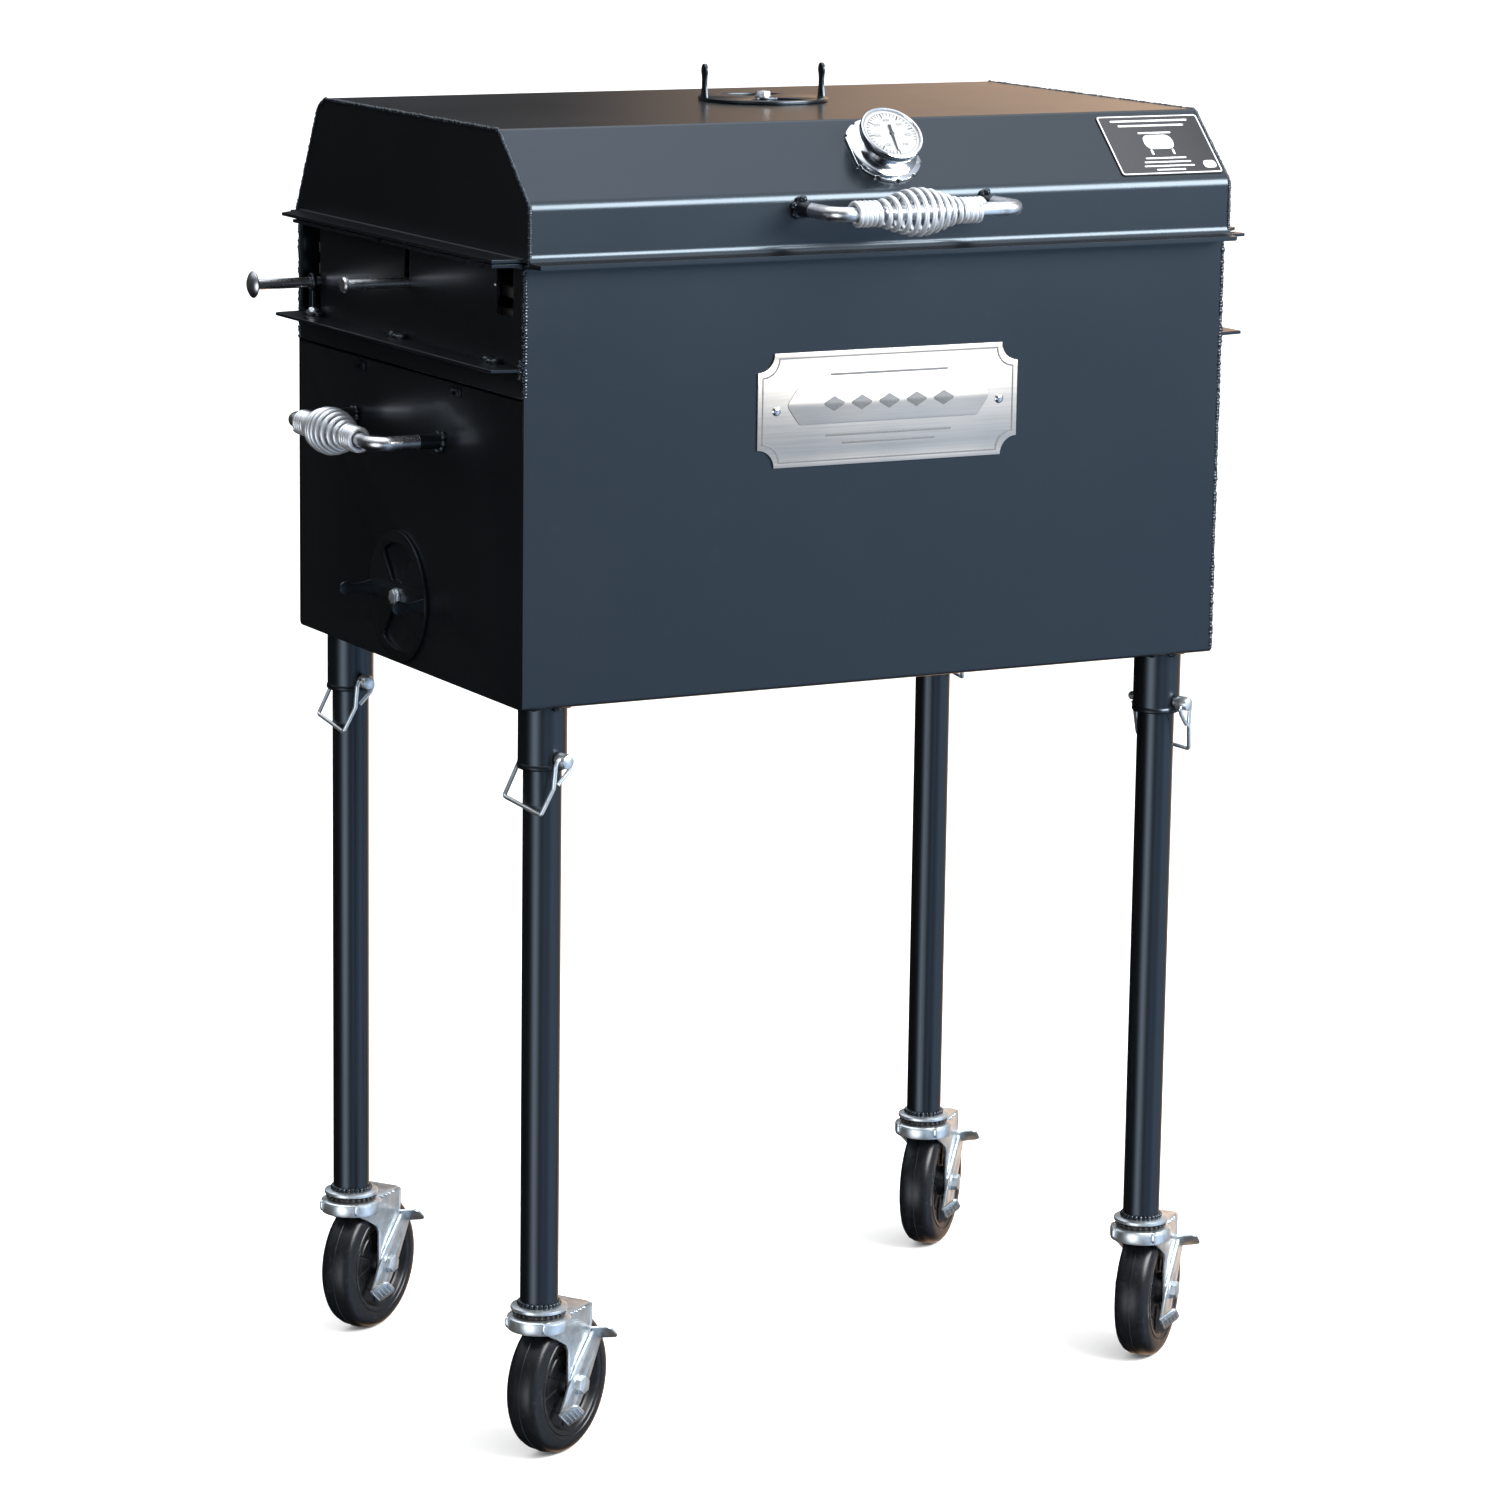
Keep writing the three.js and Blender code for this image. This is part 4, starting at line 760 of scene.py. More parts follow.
def end_panel(name, side, bottom):
    width = HALF_DEPTH - SHEET - 0.3
    turn = spun(-side * 90)
    outer = [(HALF_LENGTH + END_RIM, RIM_TOP - SHEET), (HALF_LENGTH, RIM_TOP - SHEET),
             (HALF_LENGTH, bottom)]
    section = folded(outer, [0, 3.0, 0])

    def trimmed(along, cut):
        return lambda y, z: along * (width - max(0.0, y - HALF_LENGTH - 0.5) / END_RIM * cut)

    front, back = (4, 20) if side < 0 else (20, 4)
    shape = Shape()
    extruded_sheet(shape, section, trimmed(-1, front), trimmed(1, back), PAINT, turn)
    cutters = []
    for centre, wide, deep, corner in ((203.5, 39, 85, 4), (-194, 32, 46, 4),
                                       (0, 10.5, RIM_TOP - AXLE_HEIGHT + 5.2, 5.2)):
        low, high = centre - wide / 2, centre + wide / 2
        outline = rounded([(low, RIM_TOP + 5), (low, RIM_TOP - deep), (high, RIM_TOP - deep),
                           (high, RIM_TOP + 5)], [0, corner, corner, 0])
        cutter = Shape()
        inside = side * (HALF_LENGTH - 8)
        outside = side * (HALF_LENGTH + END_RIM + 4)
        cutter.plate([outline], min(inside, outside), max(inside, outside), PAINT, END_PLANE, edge=0.0)
        cutters.append(cutter)
    shape = carved(shape, *cutters)
    near, far = side * HALF_LENGTH, side * (HALF_LENGTH + END_RIM)
    shelf = [(near, -width), (far, -width + 5), (far, width - 5), (near, width)]
    shape.plate([shelf], SHELF_TOP - SHEET, SHELF_TOP, PAINT, edge=0.5)
    for y in (188, 11, -177):
        for k in range(3):
            lift = 4.4 - k % 2 * 0.9
            shape.lump((near + side * 4.0, y + (k - 1) * 8.5, SHELF_TOP + 0.6), 5.4 - k * 0.5, lift, PAINT,
                       k + y)
    for y in (150, 62, -60, -120, -168):
        bead(shape, (near + side * 1.2, y, RIM_TOP - 6.4), (near + side * 1.2, y + 15, RIM_TOP - 6.4), 2.0,
             7)
    bead(shape, (near + side * 1.5, -width + 1, SHELF_TOP - 8),
         (near + side * 1.5, -width + 1, SHELF_TOP + 5), 2.6, 9)
    shape.lump((near, -176.0, RIM_TOP - 22), 2.0, 1.4, BRIGHT, 3, facing=(side, 0, 0))
    if side < 0:
        lock_eye(shape)
    finished(name + "_sheet", shape, "cooker_body", [name], edge=0.5)


LOCK_ROD = (190.0, AXLE_HEIGHT - 19.1)


def lock_eye(shape):
    y, z = LOCK_ROD
    x = -HALF_LENGTH - 7
    ring = circle(8.2, 28)
    hole = circle(5.3, 28)
    shape.plate([ring, hole], 0, 4, PAINT, at(x, y, z) @ END_PLANE, edge=0.7)
    post = [(-4.6, SHELF_TOP - z), (-3.6, -6.6), (3.6, -6.6), (4.6, SHELF_TOP - z)]
    shape.plate([post], 0.2, 3.8, PAINT, at(x, y, z) @ END_PLANE, edge=0.5)
    shape.lump((x + 1.5, y - 3.4, SHELF_TOP + 3.4), 5.2, 4.6, BRIGHT, 5)
    shape.lump((x + 1.5, y + 5.0, SHELF_TOP + 1.0), 4.0, 2.4, PAINT, 6)


# The plate's own outline: a long panel with scooped corners.
def nameplate():
    x, z, w, h, scoop = 3.7, 241.0, 128.0, 49.0, 16.0

    def panel(inset):
        width, height, r = w - inset, h - inset, scoop
        return (arc((-width, -height), r, 90, 0, 8) + arc((width, -height), r, 180, 90, 8)
                + arc((width, height), r, 270, 180, 8) + arc((-width, height), r, 360, 270, 8))

    turn = at(x, -HALF_DEPTH - 0.3, z) @ FACE_FRONT
    shape = Shape()
    shape.plate([panel(0)], 0, 1.5, PLATE, turn, edge=0.3)
    shape.plate([panel(4.0), panel(5.2)], 1.2, 1.75, ENGRAVED, turn, edge=0.1)
    banner = rounded([(-88, -13), (88, -13), (100, 4), (88, 21), (-88, 21), (-100, 4)], 5)
    shape.plate([banner], 1.3, 2.1, PLATE, turn, edge=0.25)
    leaf = rounded([(-16, 0), (0, -6.5), (16, 0), (0, 6.5)], 1.4)
    for dx in (-54, -27, 0, 27, 54):
        scale = Matrix.Diagonal((0.72, 1.0, 1.0, 1.0))
        shape.plate([leaf], 1.9, 2.3, ENGRAVED, turn @ at(dx, 4, 0) @ scale, edge=0.1)
    for dy, half in ((-23, 62), (-30, 46), (29, 58)):
        shape.plate([rectangle(-half, half, -1, 1, 0.9)], 1.3, 1.7, ENGRAVED,
                    turn @ at(0, dy, 0), edge=0.1)
    for dx in (-110, 110):
        shape.turned([(0, 3.4), (2.4, 3.1), (3.9, 2.2), (4.4, 1.3), (0, 1.3)], POLISHED,
                     turn @ at(dx, 0, 0), sides=28)
    finished("nameplate_blank", shape, "cooker_body", ["nameplate"])


# ---- Dampers ---------------------------------------------------------------------------


DAMPER_RADIUS, DAMPER_BORE = 58, 3.5


def pie(direction, half=38.0, inner=15.0, outer=47.0):
    wide = arc((0, 0), outer, direction - half, direction + half, 16)
    narrow = arc((0, 0), inner, direction + half, direction - half, 8)
    return rounded(wide + narrow, [3 if i in (0, 16, 17, 25) else 0 for i in range(26)], 3)


def damper(name, node, body, turn):
    shape = Shape()
    bore = circle(DAMPER_BORE, 20)
    shape.plate([circle(DAMPER_RADIUS, 88), pie(90), pie(270), bore], 0.3, 3.3, PAINT, turn, edge=0.5)
    ear = arc((0, 27), 6.2, -40, 220, 14)
    ear += [(-4.0, 18), (-4.3, 12), (-6.4, 3), (-7.5, 0.6), (7.5, 0.6), (6.4, 3), (4.3, 12), (4.0, 18)]
    for side in (-1, 1):
        stand = turn @ at(side * 55.5 - 1.5, 0, 0) @ END_PLANE
        shape.plate([ear], 0, 3.0, PAINT, stand, edge=0.7)
    finished(name, shape, body, [node])


def damper_bolt(name, node, body, turn):
    shape = Shape()
    shape.turned([(0, 3.5), (7.4, 3.5), (7.4, 4.6), (0, 4.6)], ZINC, turn, sides=36)
    hexagon = circle(6.6, 6)
    thread, threads = 3.1, 9
    shape.plate([hexagon], 4.5, 8.2, ZINC, turn @ Matrix.Rotation(0.35, 4, "Z"), edge=0.5)
    shape.turned([(0, 9.0), (2.2, 8.8), (4.3, 8.1), (4.3, 7.0), (0, 7.0)], ZINC, turn, sides=30)
    shank = [(0, -12.0), (2.4, -12.0)]
    for k in range(threads):
        shank += [(thread, -11.4 + k), (2.6, -10.9 + k)]
    shape.turned(shank + [(thread, 3.6), (0, 3.6)], ZINC, turn, sides=20)
    shape.plate([hexagon], -9.0, -3.4, ZINC, turn, edge=0.5)
    finished(name, shape, body, [node])


# ---- Spring-grip handles ---------------------------------------------------------------


HANDLE_HALF, HANDLE_REACH = 90, 63


def handle(name, node, grip, grip_node, body, turn, shift):
    bar = Shape()
    path = bent([(-HANDLE_HALF, 0, 0.3), (-HANDLE_HALF, 0, HANDLE_REACH), (HANDLE_HALF, 0, HANDLE_REACH),
                 (HANDLE_HALF, 0, 0.3)], 15, 10)
    bar.swept(path, 6.35, BRIGHT, turn, sides=28)
    for side in (-1, 1):
        bar.swept([(side * HANDLE_HALF, 0, 0.4), (side * HANDLE_HALF, 0, 21 - side * 2)], 6.62, PAINT, turn,
                  sides=28)
        for k, angle in enumerate((20, 95, 160, 230, 310)):
            around = math.radians(angle)
            spot = (side * HANDLE_HALF + 6.0 * math.cos(around), 6.0 * math.sin(around), 1.4)
            bar.lump(spot, 3.6 + k % 2 * 0.9, 3.0, PAINT, k * 5 + side, turn)
        bar.lump((side * HANDLE_HALF + 1, 8.0, 3.5), 3.3, 4.0, PAINT, 17 + side, turn)
    finished(name, bar, body, [node])
    spring = Shape()
    spring.take(grown(COIL, Turns=19.4, Close_Turns=4.4, Length=126.6, End_Radius=11.4, Belly_Radius=20.9,
                      Wire=4.5, Points=700, Finish=SPRING), SPRING,
                turn @ at(shift, 0, HANDLE_REACH) @ spun(90, "Y"))
    finished(grip, spring, body, [grip_node], smooth=60, merge=False)


# ---- Drawer ----------------------------------------------------------------------------

DAMPER_SPOT = (13.6, 60)
DAMPER_ON_DRAWER = at(-HALF_LENGTH, *DAMPER_SPOT) @ FACE_LEFT


def drawer_front():
    half = HALF_DEPTH - SHEET - 0.8
    shape = Shape()
    sheet = rectangle(-half, half, 0.0, SEAM + 2.2, 1.0, 3)
    across, over = DAMPER_SPOT
    holes = [[(u + across, over - v) for u, v in pie(direction)] for direction in (0, 180)]
    holes.append(circle(DAMPER_BORE, 20, *DAMPER_SPOT))
    shape.plate([sheet, *holes], -HALF_LENGTH, -HALF_LENGTH + SHEET, PAINT, END_PLANE, edge=0.5)
    for y in (95, -102):
        tab = rounded([(-10, -8), (-6, -8), (-4.5, -4.2), (4.5, -4.2), (6, -8), (10, -8), (10, 0),
                       (-10, 0)], 0.8, 2)
        shape.plate([tab], -HALF_LENGTH - 3, -HALF_LENGTH + 0.5, PAINT, at(0, y, SEAM) @ END_PLANE,
                    edge=1.2)
    finished("drawer_front_sheet", shape, "charcoal_drawer", ["drawer_front"])


def local(point):
    return (Vector(point) - ORIGIN) / MM


def charcoal_pan():
    low, high = (local(corner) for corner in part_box("charcoal_pan"))
    wall = 2
    plan = rectangle(low.x, high.x, low.y, high.y, 6)
    inner = rectangle(low.x + wall, high.x - wall, low.y + wall, high.y - wall, 4.4)
    shape = Shape()
    shape.plate([plan, inner], low.z, high.z, PAN_PAINT, edge=0.3)
    shape.plate([inner], low.z, low.z + wall, PAN_PAINT, edge=0.0)
    for side in (-1, 1):
        shape.box((low.x + 1, high.x - 1), sorted((side * 213.5, side * 204)), (30.4, 33.2), PAN_PAINT)
    air = Shape()
    air.turned([(0, -12), (52, -12), (52, 12), (0, 12)], PAN_PAINT, at(low.x, *DAMPER_SPOT) @ spun(90, "Y"),
               sides=56)
    shape = carved(shape, air)
    finished("charcoal_pan_sheet", shape, "charcoal_drawer", ["charcoal_pan"])


def grate(name, node, body, finish, rods):
    low, high = (local(corner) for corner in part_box(node))
    bar = 4.0
    rod_height = high.z - 3.5
    shape = Shape()
    outer = rectangle(low.x, high.x, low.y, high.y, 2.5, 3)
    inner = rectangle(low.x + bar, high.x - bar, low.y + bar, high.y - bar, 1.2, 3)
    shape.plate([outer, inner], low.z, high.z, finish, edge=0.5)
    middle = (low + high) / 2
    depth = high.y - low.y
    row = grown(RODS, Count=rods, Pitch=depth / (rods + 1), Length=high.x - low.x - bar, Radius=2.5,
                Finish=finish)
    shape.take(row, finish, at(middle.x, middle.y, rod_height))
    for x in (middle.x - 150, middle.x + 150):
        shape.swept([(x, low.y + 2, low.z + 1.6), (x, middle.y, low.z + 1.6), (x, high.y - 2, low.z + 1.6)],
                    1.5, finish)
    finished(name, shape, body, [node])


# ---- Axle and lock rod -----------------------------------------------------------------


def grate_axle():
    end = HALF_LENGTH + 58
    shape = Shape()
    along = spun(90, "Y")
    shape.swept([(-end, 0, AXLE_HEIGHT), (0, 0, AXLE_HEIGHT), (end, 0, AXLE_HEIGHT)], 4.75, BRIGHT,
                sides=28)
    for side in (-1, 1):
        stand = at(side * end, 0, AXLE_HEIGHT) @ (along if side > 0 else along @ spun(180, "X"))
        shape.turned([(0, -2.2), (5.0, -2.2), (6.9, -0.8), (7.0, 1.0), (6.0, 2.6), (0, 3.0)], BRIGHT, stand,
                     sides=36)
    finished("grate_axle_rod", shape, "cooking_grate", ["grate_axle"])


def lock_rod():
    y, z = LOCK_ROD
    inner = -HALF_LENGTH + 3 + 9 + 14
    outer = -HALF_LENGTH - 62
    shape = Shape()
    shape.swept([(outer, y, z), (outer / 2 + inner / 2, y, z), (inner, y, z)], 4.75, BRIGHT, sides=28)
    head = at(outer + 1, y, z) @ FACE_LEFT
    shape.turned([(0, -0.6), (9.6, -0.6), (11.6, 0.2), (12.0, 1.2), (11.2, 2.4), (7.6, 4.6), (3.2, 5.8),
                  (0, 6.0)], BRIGHT, head, sides=40)
    shape.lump((outer + 2.6, y, z), 6.4, 2.2, BRIGHT, 12, facing=(1, 0, 0))
    finished("lock_rod_bar", shape, "grate_lock_rod", ["grate_lock_rod"])


# ---- Lid -------------------------------------------------------------------------------

LID_SECTION = [(-LID_HALF_DEPTH, LID_BOTTOM), (-LID_HALF_DEPTH, CREASE),
               (BEVEL_DEPTH - LID_HALF_DEPTH, LID_TOP), (175.0, LID_TOP), (189.0, LID_TOP - 7.4),
               (LID_HALF_DEPTH, LID_BOTTOM)]
ON_BEVEL = at(0, -LID_HALF_DEPTH, CREASE) @ Matrix.Rotation(BEVEL_ANGLE, 4, "X")
GAUGE = ON_BEVEL @ at(8, 46, 0)
VENT = at(20, 30, LID_TOP) @ spun(-8.5)


def lid_sheet():
    shape = Shape()
    rim = LID_HALF_DEPTH + 17
    front = [(-rim, LID_BOTTOM), *LID_SECTION, (rim, LID_BOTTOM)]
    section = folded(front, [0, 8.0, 13.0, 6.0, 5.0, 9.0, 3.5, 0])

    def cut(side):
        return lambda y, z: side * (HALF_LENGTH - max(0.0, abs(y) - LID_HALF_DEPTH - 3) * 0.2)

    extruded_sheet(shape, section, cut(-1), cut(1), PAINT)
    cutters = []
    for direction in (0, 180):
        cutter = Shape()
        cutter.plate([pie(direction)], -8, 6, PAINT, VENT, edge=0.0)
        cutters.append(cutter)
    shape = carved(shape, *cutters)
    inner = [(y * (LID_HALF_DEPTH - SHEET) / LID_HALF_DEPTH, z) for y, z in LID_SECTION]
    inner = [(y, z - (SHEET if 0 < i < 5 else 0)) for i, (y, z) in enumerate(inner)]
    outline = rounded(inner, [0, 11, 4, 4, 6, 0], 5)
    sunk = 1.1
    for side in (-1, 1):
        edge = sorted((side * (HALF_LENGTH - 0.3), side * (HALF_LENGTH - SHEET - 0.3)))
        shape.plate([outline], edge[0], edge[1], PAINT, END_PLANE, edge=0.4)
        x = side * (HALF_LENGTH - 1.2)
        path = rounded(LID_SECTION, [0, 13, 6, 5, 9, 0], 5)
        for k, (start, end) in enumerate(zip(path, path[1:])):
            if math.dist(start, end) > 2:
                bead(shape, (x, start[0] * 0.997, start[1] - sunk), (x, end[0] * 0.997, end[1] - sunk), 2.1,
                     k)
        near = side * (HALF_LENGTH - 1)
        far = side * (HALF_LENGTH + END_RIM)
        front_cut, back_cut = (4, 20) if side < 0 else (20, 4)
        width = HALF_DEPTH - SHEET - 0.3
        rim_plan = [(near, -width), (far, -width + front_cut), (far, width - back_cut), (near, width)]
        shape.plate([rim_plan], LID_BOTTOM, LID_BOTTOM + SHEET, PAINT, edge=0.5)
        curl = arc((0, 0), 3.4, 0, 90, 6)
        for (u0, w0), (u1, w1) in zip(curl, curl[1:]):
            ys = (-width, width)
            spot = side * (HALF_LENGTH + 2.6)
            shape.put([(spot - side * u0, y, LID_BOTTOM + 5.4 - w0) for y in ys]
                      + [(spot - side * u1, y, LID_BOTTOM + 5.4 - w1) for y in ys], [[0, 1, 3, 2]], PAINT)
    finished("lid_sheet", shape, "lid", ["lid_shell"], edge=0.5)


def thermometer():
    turn = GAUGE
    shape = Shape()
    rim = []
    for i in range(144):
        angle = 2 * math.pi * i / 144
        radius = 33.4 if i % 12 in (0, 1) else 35.0
        across, over = radius * math.cos(angle), radius * math.sin(angle)
        rim.append((max(-31.5, min(31.5, across)), over))
    shape.plate([rim], 0.4, 2.6, POLISHED, turn, edge=0.5)
    shape.turned([(0, 2.4), (29.5, 2.4), (30.3, 3.2), (29.0, 4.2), (24.2, 5.2), (20.8, 8.2), (19.8, 12.0),
                  (20.8, 14.0), (23.4, 16.0), (27.0, 16.8), (28.2, 17.6), (28.6, 19.0), (28.6, 22.6),
                  (28.2, 24.0), (27.2, 24.6), (26.0, 24.4), (25.4, 23.4), (25.3, 22.2), (0, 22.2)],
                 POLISHED, turn, sides=96)
    face, sweep = 22.3, 290
    shape.turned([(0, face), (25.2, face), (25.2, face + 0.1), (0, face + 0.1)], DIAL, turn, sides=72)
    for i in range(35):
        angle = math.radians(-125 - sweep * i / 34 + 35)
        long = i % 5 == 0
        inner, outer = (17.6 if long else 19.8), 22.8
        wide = 0.5 if long else 0.28
        tick = [(inner, -wide), (outer, -wide), (outer, wide), (inner, wide)]
        shape.plate([tick], face + 0.05, face + 0.22, INK, turn @ Matrix.Rotation(angle, 4, "Z"), edge=0.02)
    for i in range(7):
        angle = math.radians(-90 - sweep * i / 6)
        spot = (14.9 * math.cos(angle - 0.6), 14.9 * math.sin(angle - 0.6))
        numeral(shape, str(i * 100 + 100), turn @ at(*spot, face + 0.05), 4.4)
    arc_line = circle(22.9, 90)
    shape.plate([arc_line, circle(22.6, 90)], face + 0.02, face + 0.18, INK, turn, edge=0.02)
    shape.swept([(0, 0, 0.5), (0, 0, -30), (0, 0, -59.5)], 4.0, POLISHED, turn, sides=24, dome=True)
    hexagon = circle(9.5, 6)
    shape.plate([hexagon], -9.5, -4.2, POLISHED, turn, edge=0.6)
    finished("thermometer_body", shape, "lid", ["thermometer_case"])


def numeral(shape, text, turn, height):
    words = bpy.data.curves.new("numeral", "FONT")
    words.body = text
    words.size = height
    words.align_x = "CENTER"
    words.align_y = "CENTER"
    words.extrude = 0.08
    words.resolution_u = 2
    holder = bpy.data.objects.new("numeral", words)
    mesh = bpy.data.meshes.new_from_object(holder)
    bpy.data.objects.remove(holder)
    bpy.data.curves.remove(words)
    shape.take(mesh, INK, turn)


def dial_needle():
    turn = GAUGE @ spun(-185)
    shape = Shape()
    blade = [(-1.2, -9.5), (1.2, -9.5), (1.1, 0), (0.35, 19.5), (-0.35, 19.5), (-1.1, 0)]
    shape.plate([blade], 22.9, 23.5, INK, turn, edge=0.1)
    shape.turned([(0, 24.2), (1.3, 24.0), (2.1, 23.4), (2.1, 22.7), (0, 22.7)], INK, turn, sides=24)
    finished("needle_blade", shape, "thermometer_needle", ["thermometer_needle"])


def label_plate():
    low, high = 0.3, 1.1
    turn = ON_BEVEL @ at(HALF_LENGTH - 3 - 53.5, 42.5, 0)

    def panel(inset, radius):
        w, h = 52.5 - inset, 34.0 - inset
        return rectangle(-w, w, -h, h, radius)

    shape = Shape()
    shape.plate([panel(0, 3)], low, high, LABEL_BLACK, turn, edge=0.2)
    shape.plate([panel(0.7, 2.6), panel(1.9, 2.0)], high - 0.2, high + 0.1, LABEL_WHITE, turn, edge=0.03)
    rules = [(0, 27.5, 40, 1.0), (0, 22.0, 34, 1.0), (0, -15.5, 21, 0.8), (0, -20.0, 24, 0.8),
             (0, -24.5, 26, 0.8), (0, -28.8, 15, 0.8)]
    cooker = [(0, 3.0, 15.0, 8.0), (0, 13.5, 17.0, 0.9), (-11, -8.5, 1.1, 3.0), (11, -8.5, 1.1, 3.0)]
    block = [(42, -24, 6.5, 4.2)]
    for across, over, half, tall in rules + cooker + block:
        mark = rectangle(-half, half, -tall, tall, min(tall, half) * 0.8, 3)
        shape.plate([mark], high - 0.2, high + 0.1, LABEL_WHITE, turn @ at(across, over, 0), edge=0.03)
    finished("label_panel", shape, "lid", ["label_plate"])


# ---- Hinge -----------------------------------------------------------------------------


def hinge_strip(name, node, body, way):
    low, high = (local(corner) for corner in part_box(node))
    middle_z = high.z - 8 if way < 0 else low.z + 8
    y = high.y - 8
    half, knuckles, screws = 280.0, 3, 10
    part = 2 * half / knuckles
    leaf = sorted((middle_z + way * 9.2, middle_z + way * 34))
    outline = rectangle(-half, half, *leaf, 2.0, 3)
    shape = Shape()
    shape.plate([outline], 0, 3.0, PAINT, at(0, low.y + 3, 0) @ FACE_FRONT, edge=0.5)
    for i in range(screws):
        place = at(-half + 28 + i * 56, low.y + 3.1, (leaf[0] + leaf[1]) / 2 + 2 * way)
        shape.turned([(0, 2.4), (3.0, 2.0), (4.8, 0.4), (4.8, -0.4), (0, -0.4)], PAINT,
                     place @ spun(-90, "X"), sides=20)
    for i in range(0 if way < 0 else 1, knuckles, 2):
        start = -half + i * part + 0.5
        stand = at(start, y, middle_z) @ spun(90, "Y")
        shape.turned([(5.1, 0), (7.5, 0), (8.0, 0.6), (8.0, part - 1.6), (7.5, part - 1), (5.1, part - 1)],
                     PAINT, stand, sides=36, closed=True)
        shape.box((start, start + part - 1), (low.y, low.y + 3),
                  sorted((middle_z + way * 4, middle_z + way * 10)), PAINT)
    finished(name, shape, body, [node])


def hinge_pin():
    low, high = (local(corner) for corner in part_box("hinge_rod"))
    middle = (low + high) / 2
    length = high.x - low.x
    shape = Shape()
    stand = at(low.x, middle.y, middle.z) @ spun(90, "Y")
    shape.turned([(0, 0), (6.2, 0), (7.0, 0.8), (7.0, 2.4), (4.7, 2.8), (4.7, length - 2.8),
                  (7.0, length - 2.4), (7.0, length - 0.8), (6.2, length), (0, length)], ZINC, stand,
                 sides=36)
    finished("hinge_pin", shape, "cooker_body", ["hinge_rod"])


# ---- Legs ------------------------------------------------------------------------------

CORNERS = {"front_left": (-1, -1, 12.0, 31.5), "front_right": (1, -1, 22.0, 41.0),
           "rear_left": (-1, 1, 4.0, 34.0), "rear_right": (1, 1, 0.0, 43.0)}
LEG_SPOT = (HALF_LENGTH - 35.4, HALF_DEPTH - 33.4)
PIN_DROP = -46.0
LEG_RADIUS, LEG_BORE, LEG_TOP = 16.7, 14.4, -4.0
SOCKET_RADIUS, SOCKET_BORE = 21.1, 17.4
LEG_BOTTOM = FLOOR + 138
BAIL_LEAN = math.asin((LEG_RADIUS + 1.6 + 0.5) / 46.8)


def corner_turn(side, end):
    return at(side * LEG_SPOT[0], end * LEG_SPOT[1], 0)


def drilled(radius, reach, turn):
    drill = Shape()
    drill.turned([(0, -reach), (radius, -reach), (radius, reach), (0, reach)], PAINT, turn, sides=24)
    return drill


def legs(corner):
    side, end, pin_turn, _ = CORNERS[corner]
    stand = corner_turn(side, end)
    socket = Shape()
    socket.turned([(SOCKET_RADIUS, -0.3), (SOCKET_RADIUS, -51.2), (21.9, -52.4), (22.0, -54.6),
                   (SOCKET_RADIUS, -56.0), (18.0, -56.0), (SOCKET_BORE, -55.2), (SOCKET_BORE, -0.3)], PAINT,
                  stand, sides=56, closed=True)
    across = stand @ at(0, 0, PIN_DROP) @ spun(pin_turn) @ spun(90, "X")
    socket = carved(socket, drilled(4.6, 40, across))
    for k in range(7):
        angle = math.radians(k * 51 + 20)
        spot = (side * LEG_SPOT[0] + 21.3 * math.cos(angle), end * LEG_SPOT[1] + 21.3 * math.sin(angle),
                -1.8)
        socket.lump(spot, 4.6, 2.6, PAINT, k + side * 3 + end)
    finished("socket_" + corner, socket, "cooker_body", ["leg_socket_" + corner])

    leg = Shape()
    end_height = LEG_BOTTOM + 4.6
    leg.turned([(16.0, LEG_TOP), (LEG_RADIUS, LEG_TOP - 0.8), (LEG_RADIUS, end_height),
                (LEG_BORE, end_height), (LEG_BORE, LEG_TOP)], PAINT, stand, sides=48, closed=True)
    leg = carved(leg, drilled(4.5, 40, across))
    mounds = 26
    for k in range(mounds):
        angle = 2 * math.pi * k / mounds
        x, y = side * LEG_SPOT[0] + 16.9 * math.cos(angle), end * LEG_SPOT[1] + 16.9 * math.sin(angle)
        leg.lump((x, y, LEG_BOTTOM + 4.2), 2.5, 2.6, PAINT, k)
    race_top = LEG_BOTTOM + 2.4
    leg.turned([(0, race_top), (22.6, race_top), (24.6, race_top - 0.8), (25.0, race_top - 2.2),
                (24.6, race_top - 3.6), (23.2, race_top - 4.0), (0, race_top - 4.0)], ZINC, stand, sides=64)
    # The gap between the race and the fork's crown is filled with a near-black disc, and the bearing balls
    # are near-black too: painted shade inside the bearing, with some grease.
    leg.turned([(0, race_top - 3.8), (21.0, race_top - 3.8), (21.0, FLOOR + 132.1), (0, FLOOR + 132.1)],
               GAP_SHADE_AND_GREASE, stand, sides=48)
    leg.take(grown(BALLS, Count=26, Radius=21.6, Ball=1.9, Finish=GAP_SHADE_AND_GREASE), GAP_SHADE_AND_GREASE,
             stand @ at(0, 0, FLOOR + 134.0))
    leg.turned([(0, FLOOR + 132), (5.9, FLOOR + 132), (5.9, FLOOR + 121), (8.8, FLOOR + 120.5),
                (8.8, FLOOR + 118.3), (0, FLOOR + 117.6)], ZINC, stand, sides=32)
    finished("leg_pipe_" + corner, leg, "cooker_body", ["leg_" + corner])


